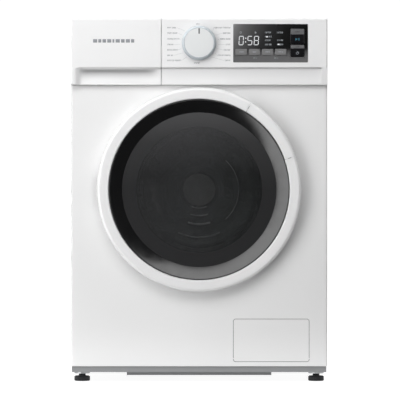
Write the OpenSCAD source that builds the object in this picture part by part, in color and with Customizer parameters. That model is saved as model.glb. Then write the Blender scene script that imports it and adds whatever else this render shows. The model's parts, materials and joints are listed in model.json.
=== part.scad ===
// Free-standing front-loading washing machine, 60 cm class, as an assembly of its pieces.
// Frame: +Z up, the front faces -Y, the origin is on the floor under the middle of the machine.
// Depths are given as s, measured backwards (+Y) from the face of the front panel.
// Outlines turned about the drum's axis are lists of [radius, s].

/* [Cabinet] */
// Width over the side panels
body_w = 595; // [590:1:610]
// Height of the worktop above the floor
body_h = 845; // [843:1:850]
// Depth from the front panel's face to the rear sheet
body_d = 530; // [528:1:545]
// Thickness of the sheet steel
sheet = 1.2; // [0.9:0.1:1.4]
// Radius of the cabinet's upright front edges
edge_r = 4; // [2.5:0.5:5]
// Thickness of the worktop
top_t = 22; // [18:1:23]
// Height of the control panel
fascia_h = 156; // [150:1:158]
// How far the control panel stands ahead of the front panel
fascia_out = 18; // [17:0.5:19]

/* [Door] */
// Height of the door's centre, which is also the drum's axis
door_z = 446; // [440:1:448]
// Outer radius of the door ring
ring_r = 236.5; // [235:0.5:238]
// Inner radius of the door ring, where the dark trim starts
trim_r = 209; // [208:0.5:211]
// Radius of the tinted window
window_r = 179; // [176:0.5:182]
// Radius of the loading opening in the front panel
port_r = 160; // [158:0.5:162]
// Middle of the pull handle's arc, in degrees above the horizontal
handle_mid = 39; // [35:1:42]
// Half of the pull handle's arc, in degrees
handle_half = 20; // [18:1:21]

/* [Drum] */
// Outer radius of the drum
drum_r = 236; // [232:1:238]
// Length of the drum
drum_len = 318; // [300:1:320]
// Outer radius of the tub
tub_r = 262; // [260:1:264]
// Radius of the drum pulley
pulley_r = 145; // [140:1:148]
// Radius of the motor pulley
motor_pulley_r = 10; // [9:0.5:12]

/* [Controls] */
// Radius of the programme knob at its foot
knob_r = 40; // [38:0.5:42]
// Width of the display window
display_w = 173; // [170:1:176]
// Height of the display window
display_h = 89; // [87:1:90]
// Width of the detergent drawer's front
drawer_w = 210; // [205:1:212]

/* [Feet] */
// Radius of a foot's pad
foot_r = 18.5; // [16:0.5:20]
// Height of a foot's pad
foot_h = 12; // [10:0.5:12]

/* [Hidden] */
$fn = 96;

// The knob reaches furthest forward and the hose connections furthest back, and the machine is
// centred on the two.
front_reach = 34;
rear_reach = 20;
front_y = -(front_reach + body_d + rear_reach) / 2 + front_reach;
half_w = body_w / 2;

// Levels
base_z = 22;
panel_z0 = 36;
top_z0 = body_h - top_t;
fascia_z0 = body_h - fascia_h;
lip_z = fascia_z0 + 39;
shell_top = top_z0 - 1;

// Front panel's dish around the loading opening
dish_r = 212;
dish_floor_r = 207;
dish_depth = 16;
port_lip = 26;

// Rear sheet: opening in the shell, service cover over it
rear_open_x = 245;
rear_open_z = [90, 745];
cover_x = 265;
cover_z = [70, 762];
bulge_r = 182;
bulge_h = 6;

// Door hinge axis, ahead of the front panel and inside the ring's left edge
hinge_x = -222;
hinge_s = -17;
hinge_pin_r = 4;
hinge_window_z = 37;
hinge_window_x = -180;

// Pull handle and latch hook: both turn about lines square to the handle's middle radius
handle_axis = [203, -22];
hook_axis = [188, 2];
hook_slot = [177, 203];
gap_deg = 0.35;

// Tub and drum stations
tub_wall = 4;
tub_front_s = 80;
tub_joint_s = 258;
tub_back_s = 446;
drum_s = 92;
drum_back_s = drum_s + drum_len;
drum_port_r = 150;
collar_r = 172;
bearing_r = 26;
bearing_w = 15;
bearing_s = [446, 476];
shaft_r = 12.5;
pulley_s = [496, 510];

// Motor, hung under the tub
motor_r = 62;
motor_dist = 332;
motor_angle = 250.6;
heater_r = 243.6;
heater_x = [36, 64];
motor_x = motor_dist * cos(motor_angle);
motor_z = door_z + motor_dist * sin(motor_angle);

// Pump and its filter behind the service flap
flap_x = [79, 256];
flap_z = [46, 146];
flap_gap = 1;
flap_hinge = [2.9, flap_z[0] + 8];
filter_x = 185;
filter_z = 94;
hose_s = 120;
hose_z = [140, 238];

// Suspension
damper_x = 150;
damper_s = 235;
spring_x = 235;
spring_s = 285;
spring_z = [640, 803];
brace_s = [285, 445];

// Control positions
knob_z = 785.5;
knob_shaft_r = 4;
face_s = -fascia_out;
display_x0 = 79;
display_z0 = 740.5;
drawer_x = [-half_w + 0.5, -half_w + drawer_w - 0.5];
key_x = [84.5, 115, 145.5, 176];
key_w = 26.5;
key_z = [757, 771.5];
side_key_x = [211.5, 244];
start_key_z = [783.5, 818.5];
power_key_z = [753, 781.2];

// Feet
foot_x = 273;
foot_s = [42, 492];
stud_r = 5;

// Rear fittings
inlet_x = 230;
inlet_z = 785;
thread_r = 13.2;
gland_x = -230;
gland_z = 790;
gland_bore_r = 4;
drain_x = -120;
drain_z = 790;
spigot_r = 10;
transit_at = [[-205, 330], [205, 330], [-205, 560], [205, 560]];
screw_z = [82, 300, 530, 750];
screw_x = 255;

// ---- Helpers ----

// A box between two corners given as x, s and z ranges
module block(x, s, z)
    translate([x[0], front_y + s[0], z[0]])
        cube([x[1] - x[0], s[1] - s[0], z[1] - z[0]]);

// A rectangle with true round corners
module round_rect(x, z, r) {
    translate([x[0] + r, z[0]]) square([x[1] - x[0] - 2 * r, z[1] - z[0]]);
    translate([x[0], z[0] + r]) square([x[1] - x[0], z[1] - z[0] - 2 * r]);
    for (cx = [x[0] + r, x[1] - r], cz = [z[0] + r, z[1] - r])
        translate([cx, cz]) circle(r);
}

// A flat shape drawn in x and z, made solid between two depths
module facing(s)
    translate([0, front_y + s[1], 0]) rotate([90, 0, 0])
        linear_extrude(s[1] - s[0]) children();

// A flat shape drawn in s and z, made solid between two x values
module across(x)
    translate([x[0], front_y, 0]) rotate([90, 0, 90])
        linear_extrude(x[1] - x[0]) children();

// A flat shape drawn in x and s, made solid between two heights
module upright(z)
    translate([0, front_y, z[0]]) linear_extrude(z[1] - z[0]) children();

// A plate with round corners, flat to the front
module plate(x, z, s, r)
    facing(s) round_rect(x, z, r);

// A cylinder along the depth
module bar(x, z, s, r)
    facing(s) translate([x, z]) circle(r);

// A vertical cylinder
module post(x, s, z, r)
    translate([x, front_y + s, z[0]]) cylinder(h = z[1] - z[0], r = r);

// Turns an outline of [radius, s] points about the drum's axis, all round or over an arc
module turned(outline, from = 0, to = 360)
    translate([0, front_y, door_z]) rotate([0, -to, 0]) rotate([-90, 0, 0])
        rotate_extrude(angle = to - from) polygon(outline);

// Points on an arc about a centre
function arc(c, r, from, to, steps = 8) =
    [for (i = [0:steps]) let (a = from + (to - from) * i / steps) [c[0] + r * cos(a), c[1] + r * sin(a)]];

// Puts children, drawn with x outwards, y backwards and z along the tangent, at the handle's middle
module at_handle()
    translate([0, front_y, door_z]) rotate([0, -handle_mid, 0]) children();

// ---- Cabinet ----

emboss_s = [70, 470];
emboss_z = [120, 700];
emboss_depth = 2.5;

module cabinet_shell() color("white") {
    difference() {
        block([-half_w, half_w], [edge_r + 0.2, body_d], [panel_z0, shell_top]);
        block([-half_w + sheet, half_w - sheet], [0, body_d - sheet], [0, body_h]);
        block([-rear_open_x, rear_open_x], [body_d - 5, body_d + 5], rear_open_z);
        for (side = [-1, 1])
            across(side > 0 ? [half_w - 5, half_w + 5] : [-half_w - 5, -half_w + 5])
                inset_rect(sheet / 2);
        bar(inlet_x, inlet_z, [500, 540], thread_r + 0.5);
        bar(gland_x, gland_z, [500, 540], 9);
        bar(drain_x, drain_z, [500, 540], 13);
        screw_shanks(0.3);
    }
    for (side = [-1, 1]) scale_side(side) stamped_panel();
}

// Mirrors children to the left or right side
module scale_side(side) mirror([side < 0 ? 1 : 0, 0, 0]) children();

// The stamping's outline in a side panel, drawn smaller by t
module inset_rect(t)
    round_rect([emboss_s[0] + t, emboss_s[1] - t], [emboss_z[0] + t, emboss_z[1] - t], 30 - t);

// The sheet inside a side panel's stamping, one step lower than the rest
module stamped_panel()
    difference() {
        across([half_w - emboss_depth - sheet, half_w]) inset_rect(0);
        across([half_w - emboss_depth, half_w + 5]) inset_rect(sheet);
    }

module rear_panel() color("silver") {
    back = body_d;
    difference() {
        plate([-cover_x, cover_x], cover_z, [back, back + sheet], 8);
        bar(0, door_z, [back - 5, back + 5], bulge_r - 0.5);
        for (p = transit_at) bar(p[0], p[1], [back - 5, back + 5], 11.5);
        screw_shanks(0.3);
    }
    turned([
        [0, back + bulge_h], [0, back + bulge_h + sheet], [bulge_r - 7, back + bulge_h + sheet],
        [bulge_r, back + sheet], [bulge_r, back], [bulge_r - 1, back], [bulge_r - 8, back + bulge_h]
    ]);
}

// Screw shanks of the rear cover, or their holes when grown
module screw_shanks(grow = 0)
    for (side = [-1, 1], z = screw_z)
        bar(side * screw_x, z, [body_d - 8, body_d + 1.5], 1.8 + grow);

module panel_screws() color("gray") {
    screw_shanks();
    for (side = [-1, 1], z = screw_z)
        bar(side * screw_x, z, [body_d + sheet, body_d + sheet + 2.5], 4);
}

module transit_caps() color("dimgray")
    for (p = transit_at) {
        bar(p[0], p[1], [body_d + sheet, body_d + sheet + 3.5], 16);
        bar(p[0], p[1], [body_d - 6, body_d + sheet + 1], 11);
    }

module front_panel() color("white") {
    top = fascia_z0 - 0.8;
    inner = half_w - 2.9;
    difference() {
        block([-half_w + edge_r, half_w - edge_r], [0, sheet], [panel_z0, top]);
        bar(0, door_z, [-5, 5], dish_r - 0.5);
        plate(flap_x, flap_z, [-5, 5], 6);
    }
    for (side = [-1, 1]) scale_side(side) difference() {
        post(half_w - edge_r, edge_r, [panel_z0, top], edge_r);
        post(half_w - edge_r, edge_r, [panel_z0 - 1, top + 1], edge_r - sheet);
        block([half_w - 3 * edge_r, half_w - edge_r], [-1, 3 * edge_r], [panel_z0 - 1, top + 1]);
        block([half_w - 3 * edge_r, half_w + 1], [edge_r, 3 * edge_r], [panel_z0 - 1, top + 1]);
    }
    for (side = [-1, 1]) scale_side(side)
        block([inner, inner + sheet], [sheet - 0.1, 15], [panel_z0 + 3, top - 3]);
    for (z = [panel_z0, top - sheet])
        block([-inner, inner], [sheet - 0.1, 12], [z, z + sheet]);
    difference() {
        turned([
            [dish_r + 1, 0], [dish_r - 0.6, 0], [dish_floor_r - 0.6, dish_depth],
            [port_r, dish_depth], [port_r, port_lip], [port_r + sheet, port_lip],
            [port_r + sheet, dish_depth + sheet], [dish_floor_r + 0.4, dish_depth + sheet],
            [dish_r + 1, sheet]
        ]);
        at_handle()
            translate([hook_slot[0], dish_depth - 2, -9])
                cube([hook_slot[1] - hook_slot[0], 6, 18]);
    }
}

module top_plate() color("white")
    translate([0, 0, top_z0]) linear_extrude(top_t)
        round_rect([-half_w, half_w], [front_y - 6, front_y + body_d], 4);

// Two rails across the top of the cabinet, open below
module cross_braces() color("silver")
    for (s = brace_s) difference() {
        block([-half_w + sheet + 3, half_w - sheet - 3], [s - 15, s + 15], [spring_z[1], shell_top - 2]);
        block([-half_w, half_w], [s - 13.5, s + 13.5], [spring_z[1] + 1.5, shell_top - 3.5]);
    }

// ---- Base and feet ----

module base_tray() color("gray") {
    floor_z = [base_z, base_z + 2.5];
    difference() {
        union() {
            block([-half_w + 2, half_w - 2], [4, body_d - 4], [base_z, panel_z0 - 0.5]);
            block([-168, 168], [8, body_d - 60], [base_z - 7, base_z + 1]);
        }
        difference() {
            block([-half_w + 6, half_w - 6], [8, body_d - 8], [floor_z[1], body_h]);
            for (x = [-foot_x, foot_x], s = foot_s) post(x, s, [base_z, panel_z0 - 0.5], 14);
        }
        block([-165, 165], [11, body_d - 63], [base_z - 4.5, base_z + 5]);
        for (x = [-foot_x, foot_x], s = foot_s) post(x, s, [0, body_h], stud_r + 0.05);
    }
}

module lock_nuts() color("black")
    for (x = [-foot_x, foot_x], s = foot_s) difference() {
        post(x, s, [base_z - 4.5, base_z], foot_r - 0.5);
        post(x, s, [0, base_z + 5], stud_r + 0.05);
    }

module foot(x, s) color("black") {
    translate([x, front_y + s, 0]) rotate_extrude()
        polygon([
            [0, 0], [foot_r - 1.5, 0], [foot_r, 1.5], [foot_r, foot_h - 2], [foot_r - 2, foot_h],
            [8, foot_h], [7.5, base_z - 5], [stud_r, base_z - 5], [stud_r, 60], [0, 60]
        ]);
}

// ---- Control panel ----

// The control panel's section as [s, z], grown inwards by t: nose, face, lip, and the band below
// the lip, one step further back
band_s = -12;
back_s = 12;
function fascia_outline(t, back) = concat(
    [[back, top_z0 - 2 - t], [-6.5 - t, top_z0 - 2 - t], [-6.5 - t, body_h - t]],
    arc([face_s + 6, body_h - 6], 6 - t, 90, 180),
    arc([face_s + 3, lip_z + 3], 3 - t, 180, 270),
    [[band_s + t, lip_z + t], [band_s + t, fascia_z0 + t], [back, fascia_z0 + t]]);

// The same section where it has no step
function flush_outline(t, back) = concat(
    [[back, top_z0 - 2 - t], [-6.5 - t, top_z0 - 2 - t], [-6.5 - t, body_h - t]],
    arc([face_s + 6, body_h - 6], 6 - t, 90, 180),
    [[face_s + t, lip_z], [face_s + 6 + t, fascia_z0 + t], [back, fascia_z0 + t]]);

module skin(outer, inner)
    difference() {
        polygon(outer);
        polygon(inner);
    }

// A stretch of control panel: stepped between two x values, with a flush end at the outer side
fascia_wall = 2.5;
module fascia_run(x, end, back) {
    flush = 14;
    inner_end = end > 0 ? x[1] - flush : x[0] + flush;
    run = end > 0 ? [x[0], inner_end] : [inner_end, x[1]];
    tail = end > 0 ? [inner_end, x[1]] : [x[0], inner_end];
    across(run) skin(fascia_outline(0, back), fascia_outline(fascia_wall, back + 5));
    across(tail) skin(flush_outline(0, back), flush_outline(fascia_wall, back + 5));
    across(end > 0 ? [x[1] - fascia_wall, x[1]] : [x[0], x[0] + fascia_wall])
        polygon(flush_outline(0, back));
    across([inner_end, inner_end + fascia_wall]) polygon(
        end > 0 ? flush_outline(0, back) : fascia_outline(0, back));
    across(end > 0 ? [x[0], x[0] + fascia_wall] : [x[1] - fascia_wall, x[1]])
        polygon(fascia_outline(0, back));
}

// Cuts the round upright edge at the fascia's left or right end
module end_round(side) scale_side(side) difference() {
    r = 3.5;
    block([half_w - r, half_w + 2], [face_s - 2, face_s + r], [fascia_z0 - 1, body_h + 1]);
    post(half_w - (side < 0 ? 0.5 : 0) - r, face_s + r, [fascia_z0 - 2, body_h + 2], r);
}

module control_panel() color("white") difference() {
    fascia_run([-half_w + drawer_w + 0.5, half_w], 1, back_s);
    plate([display_x0, display_x0 + display_w], [display_z0, display_z0 + display_h],
        [face_s - 5, face_s + 5], 2);
    bar(0, knob_z, [face_s - 5, face_s + 5], knob_shaft_r + 0.05);
    block([half_w - sheet - 0.1, half_w + 1], [edge_r + 0.1, 20], [0, body_h]);
    end_round(1);
}

module display_window() color("dimgray") difference() {
    plate([display_x0, display_x0 + display_w], [display_z0, display_z0 + display_h],
        [face_s - 0.6, face_s + 2.4], 2);
    for (i = [0:3]) key_hole([key_x[i], key_x[i] + key_w], key_z);
    key_hole(side_key_x, start_key_z);
    key_hole(side_key_x, power_key_z);
}

module key_hole(x, z)
    plate([x[0] - 0.4, x[1] + 0.4], [z[0] - 0.4, z[1] + 0.4], [face_s - 5, face_s + 5], 2.4);

// A key cap that stands just ahead of the window, with a retaining flange behind it
module key(x, z) color("gray") {
    plate(x, z, [face_s - 2, face_s + 3.8], 2);
    plate([x[0] - 1.2, x[1] + 1.2], [z[0] - 0.7, z[1] + 0.7], [face_s + 2.8, face_s + 3.8], 2);
}

module programme_knob() color("whitesmoke") difference() {
    translate([0, front_y, knob_z]) rotate([-90, 0, 0]) rotate_extrude()
        polygon([
            [0, -front_reach], [knob_r - 5.5, -front_reach], [knob_r - 4, -front_reach + 1.5],
            [knob_r - 0.5, face_s - 2.4], [knob_r, face_s - 1.6], [knob_r, face_s - 0.8],
            [knob_r - 3, face_s - 0.8], [knob_r - 7, -front_reach + 3], [6, -front_reach + 3],
            [6, face_s - 1], [knob_shaft_r, face_s - 1], [knob_shaft_r, 6], [0, 6]
        ]);
    block([-1.1, 1.1], [-front_reach - 1, -front_reach + 0.7], [knob_z + knob_r - 17, knob_z + knob_r + 2]);
}

// ---- Detergent drawer ----

// The hand scoop under the drawer's lip, grown by t: an arc in section, with slanting ends
scoop_c = [-61, lip_z - 1];
scoop_r = 60;
scoop_x = [drawer_x[0] + 17, drawer_x[1] - 16];
module scoop(t, front) intersection() {
    across([scoop_x[0] - t, scoop_x[1] + t]) polygon(concat(
        [[front, lip_z + t], [scoop_c[0] + scoop_r + t, lip_z + t]],
        arc(scoop_c, scoop_r + t, 0, -35),
        [[front, scoop_c[1] - (scoop_r + t) * sin(35)]]));
    upright([fascia_z0 - 10, lip_z + 5]) polygon([
        [scoop_x[0] - t, front - 1], [scoop_x[0] - t, band_s], [scoop_x[0] + 14 - t, -0.9 + 0.9 * t],
        [scoop_x[1] - 14 + t, -0.9 + 0.9 * t], [scoop_x[1] + t, band_s], [scoop_x[1] + t, front - 1]
    ]);
}

module drawer_front() color("white") {
    pocket_x = [scoop_x[0] + 16, scoop_x[1] - 16];
    difference() {
        union() {
            fascia_run(drawer_x, -1, 1);
            scoop(2, band_s + 0.5);
            block([pocket_x[0] - 2, pocket_x[1] + 2], [face_s + 1, -0.5], [lip_z + 1, lip_z + 18]);
        }
        scoop(0, -30);
        block(pocket_x, [face_s + 3, -2.5], [lip_z - 0.5, lip_z + 16]);
        end_round(-1);
    }
}

tray_x = [drawer_x[0] + 9, drawer_x[1] - 9];
tray_s = [1, 236];
tray_z = [738, 804];
tray_wall = 2;
module drawer_tray() color("lightgray") difference() {
    union() {
        block(tray_x, tray_s, tray_z);
        block([drawer_x[0] + 1, drawer_x[1] - 1], [tray_s[0], tray_s[0] + 2], [fascia_z0 + 1.5, top_z0 - 3]);
    }
    splits = [tray_x[0], tray_x[0] + 62, tray_x[0] + 124, tray_x[1]];
    for (i = [0:2])
        block([splits[i] + tray_wall, splits[i + 1] - (i < 2 ? 0 : tray_wall)],
            [tray_s[0] + tray_wall, tray_s[1] - tray_wall], [tray_z[0] + tray_wall, tray_z[1] + 5]);
}

housing_x = [tray_x[0] - 5, tray_x[1] + 5];
housing_s = [4.5, 262];
housing_z = [726, 817];
module dispenser_housing() color("gainsboro") {
    wall = 2.2;
    outlet = [housing_x[1] - 32, 240];
    difference() {
        union() {
            block(housing_x, housing_s, housing_z);
            post(outlet[0], outlet[1], [housing_z[0] - 14, housing_z[0] + 3], 14);
        }
        block([housing_x[0] + wall, housing_x[1] - wall], [0, housing_s[1] - wall],
            [housing_z[0] + wall, housing_z[1] - wall]);
        post(outlet[0], outlet[1], [housing_z[0] - 20, housing_z[0] + 20], 11);
    }
}

// ---- Door ----

// Outer skin of the ring as [radius, s]: from the inner edge over the crest to the back edge
function ring_front(t) = concat(
    [[trim_r + 0.6 + t, -14]],
    arc([trim_r + 3.6, -27.5], 3 - t, 180, 270, 4),
    arc([ring_r - 8, -23], 8 - t, 270, 360, 8),
    [[ring_r - 1 - t, -9], [ring_r - 7 - t, -3]]);

// The door's hinge side is open behind, where the gooseneck arms swing
module hinge_window(reach = 40)
    block([-ring_r - 10, hinge_window_x], [hinge_s - 3, reach],
        [door_z - hinge_window_z, door_z + hinge_window_z]);

module door_ring() color("white") difference() {
    from = handle_mid + handle_half;
    to = handle_mid - handle_half + 360;
    hollow = [for (p = [0:len(ring_front(2.5)) - 2]) ring_front(2.5)[p]];
    turned(concat(ring_front(0), [[ring_r - 9.9, -3], [ring_r - 9.9, -5.5]]), from, to);
    turned(concat(hollow, [[ring_r - 9, -5.5], [ring_r - 9, 5], [trim_r + 3.1, 5]]), from + 1, to - 1);
    hinge_window();
    at_handle() for (z = [-85, 65])
        translate([handle_axis[0], handle_axis[1], z]) cylinder(h = 20, r = 2.8);
}

// Outer skin of the handle, to its open back
handle_front = concat(
    [[trim_r + 0.9, -16]], arc([trim_r + 3.9, -27.5], 3, 180, 270, 4),
    arc([ring_r - 8.3, -23], 8, 270, 360, 8), [[ring_r - 0.3, -16]]);

module door_handle() color("white") {
    from = handle_mid - handle_half + gap_deg;
    to = handle_mid + handle_half - gap_deg;
    pin_half = trim_r * sin(handle_half) + 4;
    turned(concat(handle_front, [[ring_r - 3.3, -16]], arc([ring_r - 8.3, -23], 5, 360, 270, 5),
        [[trim_r + 3.9, -28], [trim_r + 3.9, -16]]), from, to);
    for (a = [from, to - 1.4]) turned(handle_front, a, a + 1.4);
    at_handle() for (side = [-1, 1])
        translate([handle_axis[0], handle_axis[1], side > 0 ? pin_half - 7 : -pin_half]) cylinder(h = 7, r = 2.5);
}

module door_trim() color([0.04, 0.04, 0.045]) turned([
    [trim_r, -25], [trim_r, -20], [window_r + 1, -5], [window_r - 7, -5],
    [window_r - 7, -7], [window_r, -7], [window_r, -10], [trim_r - 2, -25.5]
]);

// A shallow dome, flat behind
dome_rise = 4.5;
dome_r = (window_r * window_r + dome_rise * dome_rise) / (2 * dome_rise);
module door_window() color([0.12, 0.12, 0.13, 0.85]) {
    rim = window_r - 0.3;
    turned(concat(
        [[0, -10], [rim, -7]],
        arc([0, dome_r - 10 - dome_rise], dome_r, 270 + asin(rim / dome_r), 270, 10)));
}

bowl_depth = 96;
module door_bowl() color([0.8, 0.85, 0.85, 0.4]) turned(concat(
    [[165, 2], [165, 7.5], [148, 7.5], [146, 9]],
    arc([108, bowl_depth - 26], 26, 15, 90, 8),
    [[0, bowl_depth], [0, bowl_depth - 5], [106, bowl_depth - 5]],
    arc([108, bowl_depth - 26], 21, 90, 15, 6),
    [[141, 9], [141, 2]]));

// The door's back: a plate with a stepped rim that enters the dish, and a pocket for the hook
module door_liner() color("whitesmoke") {
    pocket_in = [176, 201];
    difference() {
        turned([
            [167, -4.8], [ring_r - 10, -4.8], [ring_r - 10, -2.4], [200, -2.4], [197, 10], [150, 10],
            [150, 7.5], [194.6, 7.5], [197, -2.4], [167, -2.4]
        ]);
        hinge_window();
        at_handle() translate([pocket_in[0], -10, -12]) cube([pocket_in[1] - pocket_in[0], 30, 24]);
    }
    at_handle() for (side = [-1, 1]) difference() {
        translate([pocket_in[0] + 2, -3, side > 0 ? 12 : -14]) cube([16, 12, 2]);
        translate([hook_axis[0], hook_axis[1], -20]) cylinder(h = 40, r = 2.55);
    }
}

// Door half of the hinge: a barrel on the pin, a plate behind the trim
module hinge_arm() color("silver") {
    z = [door_z - 25, door_z + 25];
    difference() {
        union() {
            post(hinge_x, hinge_s, z, 7);
            upright(z) polygon([
                [hinge_x, hinge_s + 1], [hinge_x + 5, hinge_s - 2], [-208, -11], [-198, -8.4],
                [-198, -4.8], [-212, -4.8]
            ]);
            block([-199, -188], [-8.4, -4.8], [door_z - 58, door_z + 58]);
        }
        post(hinge_x, hinge_s, [0, body_h], hinge_pin_r + 0.05);
    }
}

// Cabinet half of the hinge: a plate in the dish, two gooseneck arms and the pin
module hinge_bracket() color("silver") {
    block([-200, -172], [dish_depth - 2.2, dish_depth], [door_z - 36, door_z + 36]);
    for (side = [-1, 1]) {
        mid = door_z + side * 30.5;
        upright([mid - 4, mid + 4]) {
            translate([hinge_x, hinge_s]) circle(7);
            polygon([
                [hinge_x - 1, hinge_s + 6.6], [hinge_x + 5, hinge_s - 1], [-201, -2.6], [-192, 12],
                [-192, dish_depth - 1], [-200, dish_depth - 1], [-202.5, 3]
            ]);
        }
    }
    post(hinge_x, hinge_s, [door_z - 34.5, door_z + 34.5], hinge_pin_r);
}

module latch_hook() color("silver") at_handle() {
    translate([hook_axis[0], hook_axis[1], -13.8]) cylinder(h = 27.6, r = 2.5);
    translate([0, 0, -5]) linear_extrude(10)
        polygon([
            [hook_axis[0] - 3.5, -3], [hook_axis[0] + 3.5, -3], [hook_axis[0] + 3.5, 26],
            [hook_axis[0] + 1, 36], [hook_axis[0] - 3, 36], [hook_axis[0] - 8, 28],
            [hook_axis[0] - 3.5, 28]
        ]);
}

module door_lock() color("black") at_handle() {
    back = 48;
    front = dish_depth + sheet;
    difference() {
        translate([172, front, -24]) cube([36, back - front, 48]);
        translate([hook_slot[0], front - 1, -9])
            cube([hook_slot[1] - hook_slot[0], back - front - 3, 18]);
    }
}

// ---- Service flap, filter and pump ----

module service_flap() color("white") {
    x = [flap_x[0] + flap_gap, flap_x[1] - flap_gap];
    plate(x, [flap_z[0] + flap_gap, flap_z[1] - flap_gap], [0, 2.4], 5);
    for (end = [0, 1]) {
        ear = end == 0 ? [x[0] + 5, x[0] + 9] : [x[1] - 9, x[1] - 5];
        pin = end == 0 ? [x[0] - 2.4, x[0] + 6] : [x[1] - 6, x[1] + 2.4];
        across(ear) translate([flap_hinge[0], flap_hinge[1]]) circle(2.3);
        across(pin) translate([flap_hinge[0], flap_hinge[1]]) circle(1.2);
    }
}

module filter_cap() color("lightgray") {
    bar(filter_x, filter_z, [7.5, 13.5], 34);
    bar(filter_x, filter_z, [13, 34], 30.4);
    plate([filter_x - 27, filter_x + 27], [filter_z - 4.5, filter_z + 4.5], [3.6, 8], 4);
}

module drain_pump() color("dimgray") {
    pocket_x = [flap_x[0], flap_x[1]];
    pocket_z = [flap_z[0] - 1, flap_z[1]];
    difference() {
        union() {
            block([pocket_x[0] - 2.5, pocket_x[1] + 2.5], [1.6, 16], [pocket_z[0] - 2.5, pocket_z[1] + 2.5]);
            bar(filter_x, filter_z, [14, 144], 36);
            bar(filter_x, filter_z, [142, 205], 28);
            post(filter_x, hose_s, [filter_z + 20, hose_z[0] + 12], 20);
            block([filter_x - 25, filter_x + 25], [50, 100], [base_z + 2.5, filter_z]);
            translate([filter_x, front_y + hose_s, filter_z - 12]) rotate([0, -90, 0])
                cylinder(h = 60, r = 10);
        }
        block(pocket_x, [0, 14], pocket_z);
        bar(filter_x, filter_z, [10, 136], 31);
        post(filter_x, hose_s, [filter_z + 20, hose_z[0] + 20], 17);
        for (end = [flap_x[0] - 3, flap_x[1] - 1])
            across([end, end + 4]) translate([flap_hinge[0], flap_hinge[1]]) circle(1.25);
    }
}

// ---- Tub ----

module tub_front() color("lightgray") {
    wall_s = [tub_front_s, tub_front_s + tub_wall];
    difference() {
        union() {
            turned([
                [collar_r - 4, 62], [collar_r, 62], [collar_r, wall_s[0]], [tub_r, wall_s[0]],
                [tub_r, tub_joint_s - 6], [tub_r + 10, tub_joint_s - 6], [tub_r + 10, tub_joint_s],
                [tub_r - tub_wall, tub_joint_s], [tub_r - tub_wall, wall_s[1]],
                [collar_r - 4, wall_s[1]]
            ]);
            post(filter_x, hose_s, [hose_z[1] - 12, door_z - 165], 20);
            for (side = [-1, 1])
                block([side * damper_x - 8, side * damper_x + 8], [damper_s - 8, damper_s + 8],
                    [215, door_z - 208]);
        }
        post(filter_x, hose_s, [0, door_z - 100], 17);
        turned([[0, wall_s[1]], [tub_r - tub_wall, wall_s[1]], [tub_r - tub_wall, 300], [0, 300]]);
    }
}

module tub_rear() color("lightgray") {
    hub_end = bearing_s[1] + bearing_w;
    difference() {
        union() {
            turned([
                [tub_r - tub_wall, tub_joint_s], [tub_r + 10, tub_joint_s], [tub_r + 10, tub_joint_s + 6],
                [tub_r, tub_joint_s + 6], [tub_r, tub_back_s + tub_wall], [40, tub_back_s + tub_wall],
                [40, hub_end], [bearing_r, hub_end], [bearing_r, tub_back_s], [tub_r - tub_wall, tub_back_s]
            ]);
            for (a = [15:30:345])
                translate([0, front_y + tub_back_s + 2, door_z]) rotate([0, -a, 0])
                    translate([38, 0, -1.5]) cube([tub_r - 42, 22, 3]);
            for (side = [-1, 1])
                block([side * spring_x - 8, side * spring_x + 8], [spring_s - 10, spring_s + 10],
                    [door_z + 110, spring_z[0]]);
            translate([0, front_y, door_z]) rotate([0, -motor_angle, 0])
                translate([tub_r - 3, 380, -30]) cube([11, 60, 60]);
        }
        turned([[0, 200], [tub_r - tub_wall, 200], [tub_r - tub_wall, tub_back_s], [0, tub_back_s]]);
        for (x = heater_x)
            bar(x, door_z - heater_r, [tub_back_s - 5, 520], 3);
        block([heater_x[0] - 13, heater_x[1] + 13], [tub_back_s + tub_wall, 520], [door_z - heater_r - 20, door_z - heater_r + 12]);
    }
}

module top_counterweight() color("darkgray") difference() {
    block([-78, 170], [182, 425], [690, 785]);
    turned([[0, 100], [tub_r + 1, 100], [tub_r + 1, 500], [0, 500]]);
    turned([[0, tub_joint_s - 8], [tub_r + 12, tub_joint_s - 8], [tub_r + 12, tub_joint_s + 8], [0, tub_joint_s + 8]]);
}

module front_counterweight() color("darkgray")
    turned([[216, 46], [256, 46], [256, tub_front_s], [216, tub_front_s]], 192, 348);

// Rubber bellows between the front panel's lip and the tub's collar
module door_seal() color("dimgray") turned([
    [150, 13], [153, 11], [164, 12.4], [165, 15.6], [158.4, 15.6], [158.4, 27], [165, 27],
    [166, 33], [158, 40], [158, 45], [170, 50], [178, 56], [178, 70], [172.4, 70], [172.4, 59.6],
    [166, 55], [154, 48], [154, 37], [162, 31], [155, 29], [152, 20]
]);

module heater() color("silver") {
    for (x = heater_x) bar(x, door_z - heater_r, [120, tub_back_s + 24], 3);
    block([heater_x[0] - 3, heater_x[1] + 3], [117, 123], [door_z - heater_r - 3, door_z - heater_r + 3]);
    plate([heater_x[0] - 12, heater_x[1] + 12], [door_z - heater_r - 9, door_z - heater_r + 9],
        [tub_back_s + tub_wall, tub_back_s + tub_wall + 4], 6);
}

module drum_bearings() color("silver")
    for (s = bearing_s)
        turned([[shaft_r + 0.05, s], [bearing_r, s], [bearing_r, s + bearing_w], [shaft_r + 0.05, s + bearing_w]]);

module suspension_springs() color("silver")
    for (side = [-1, 1]) translate([side * spring_x, front_y + spring_s, spring_z[0]])
        coil(11, 2, spring_z[1] - spring_z[0], 13);

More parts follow.
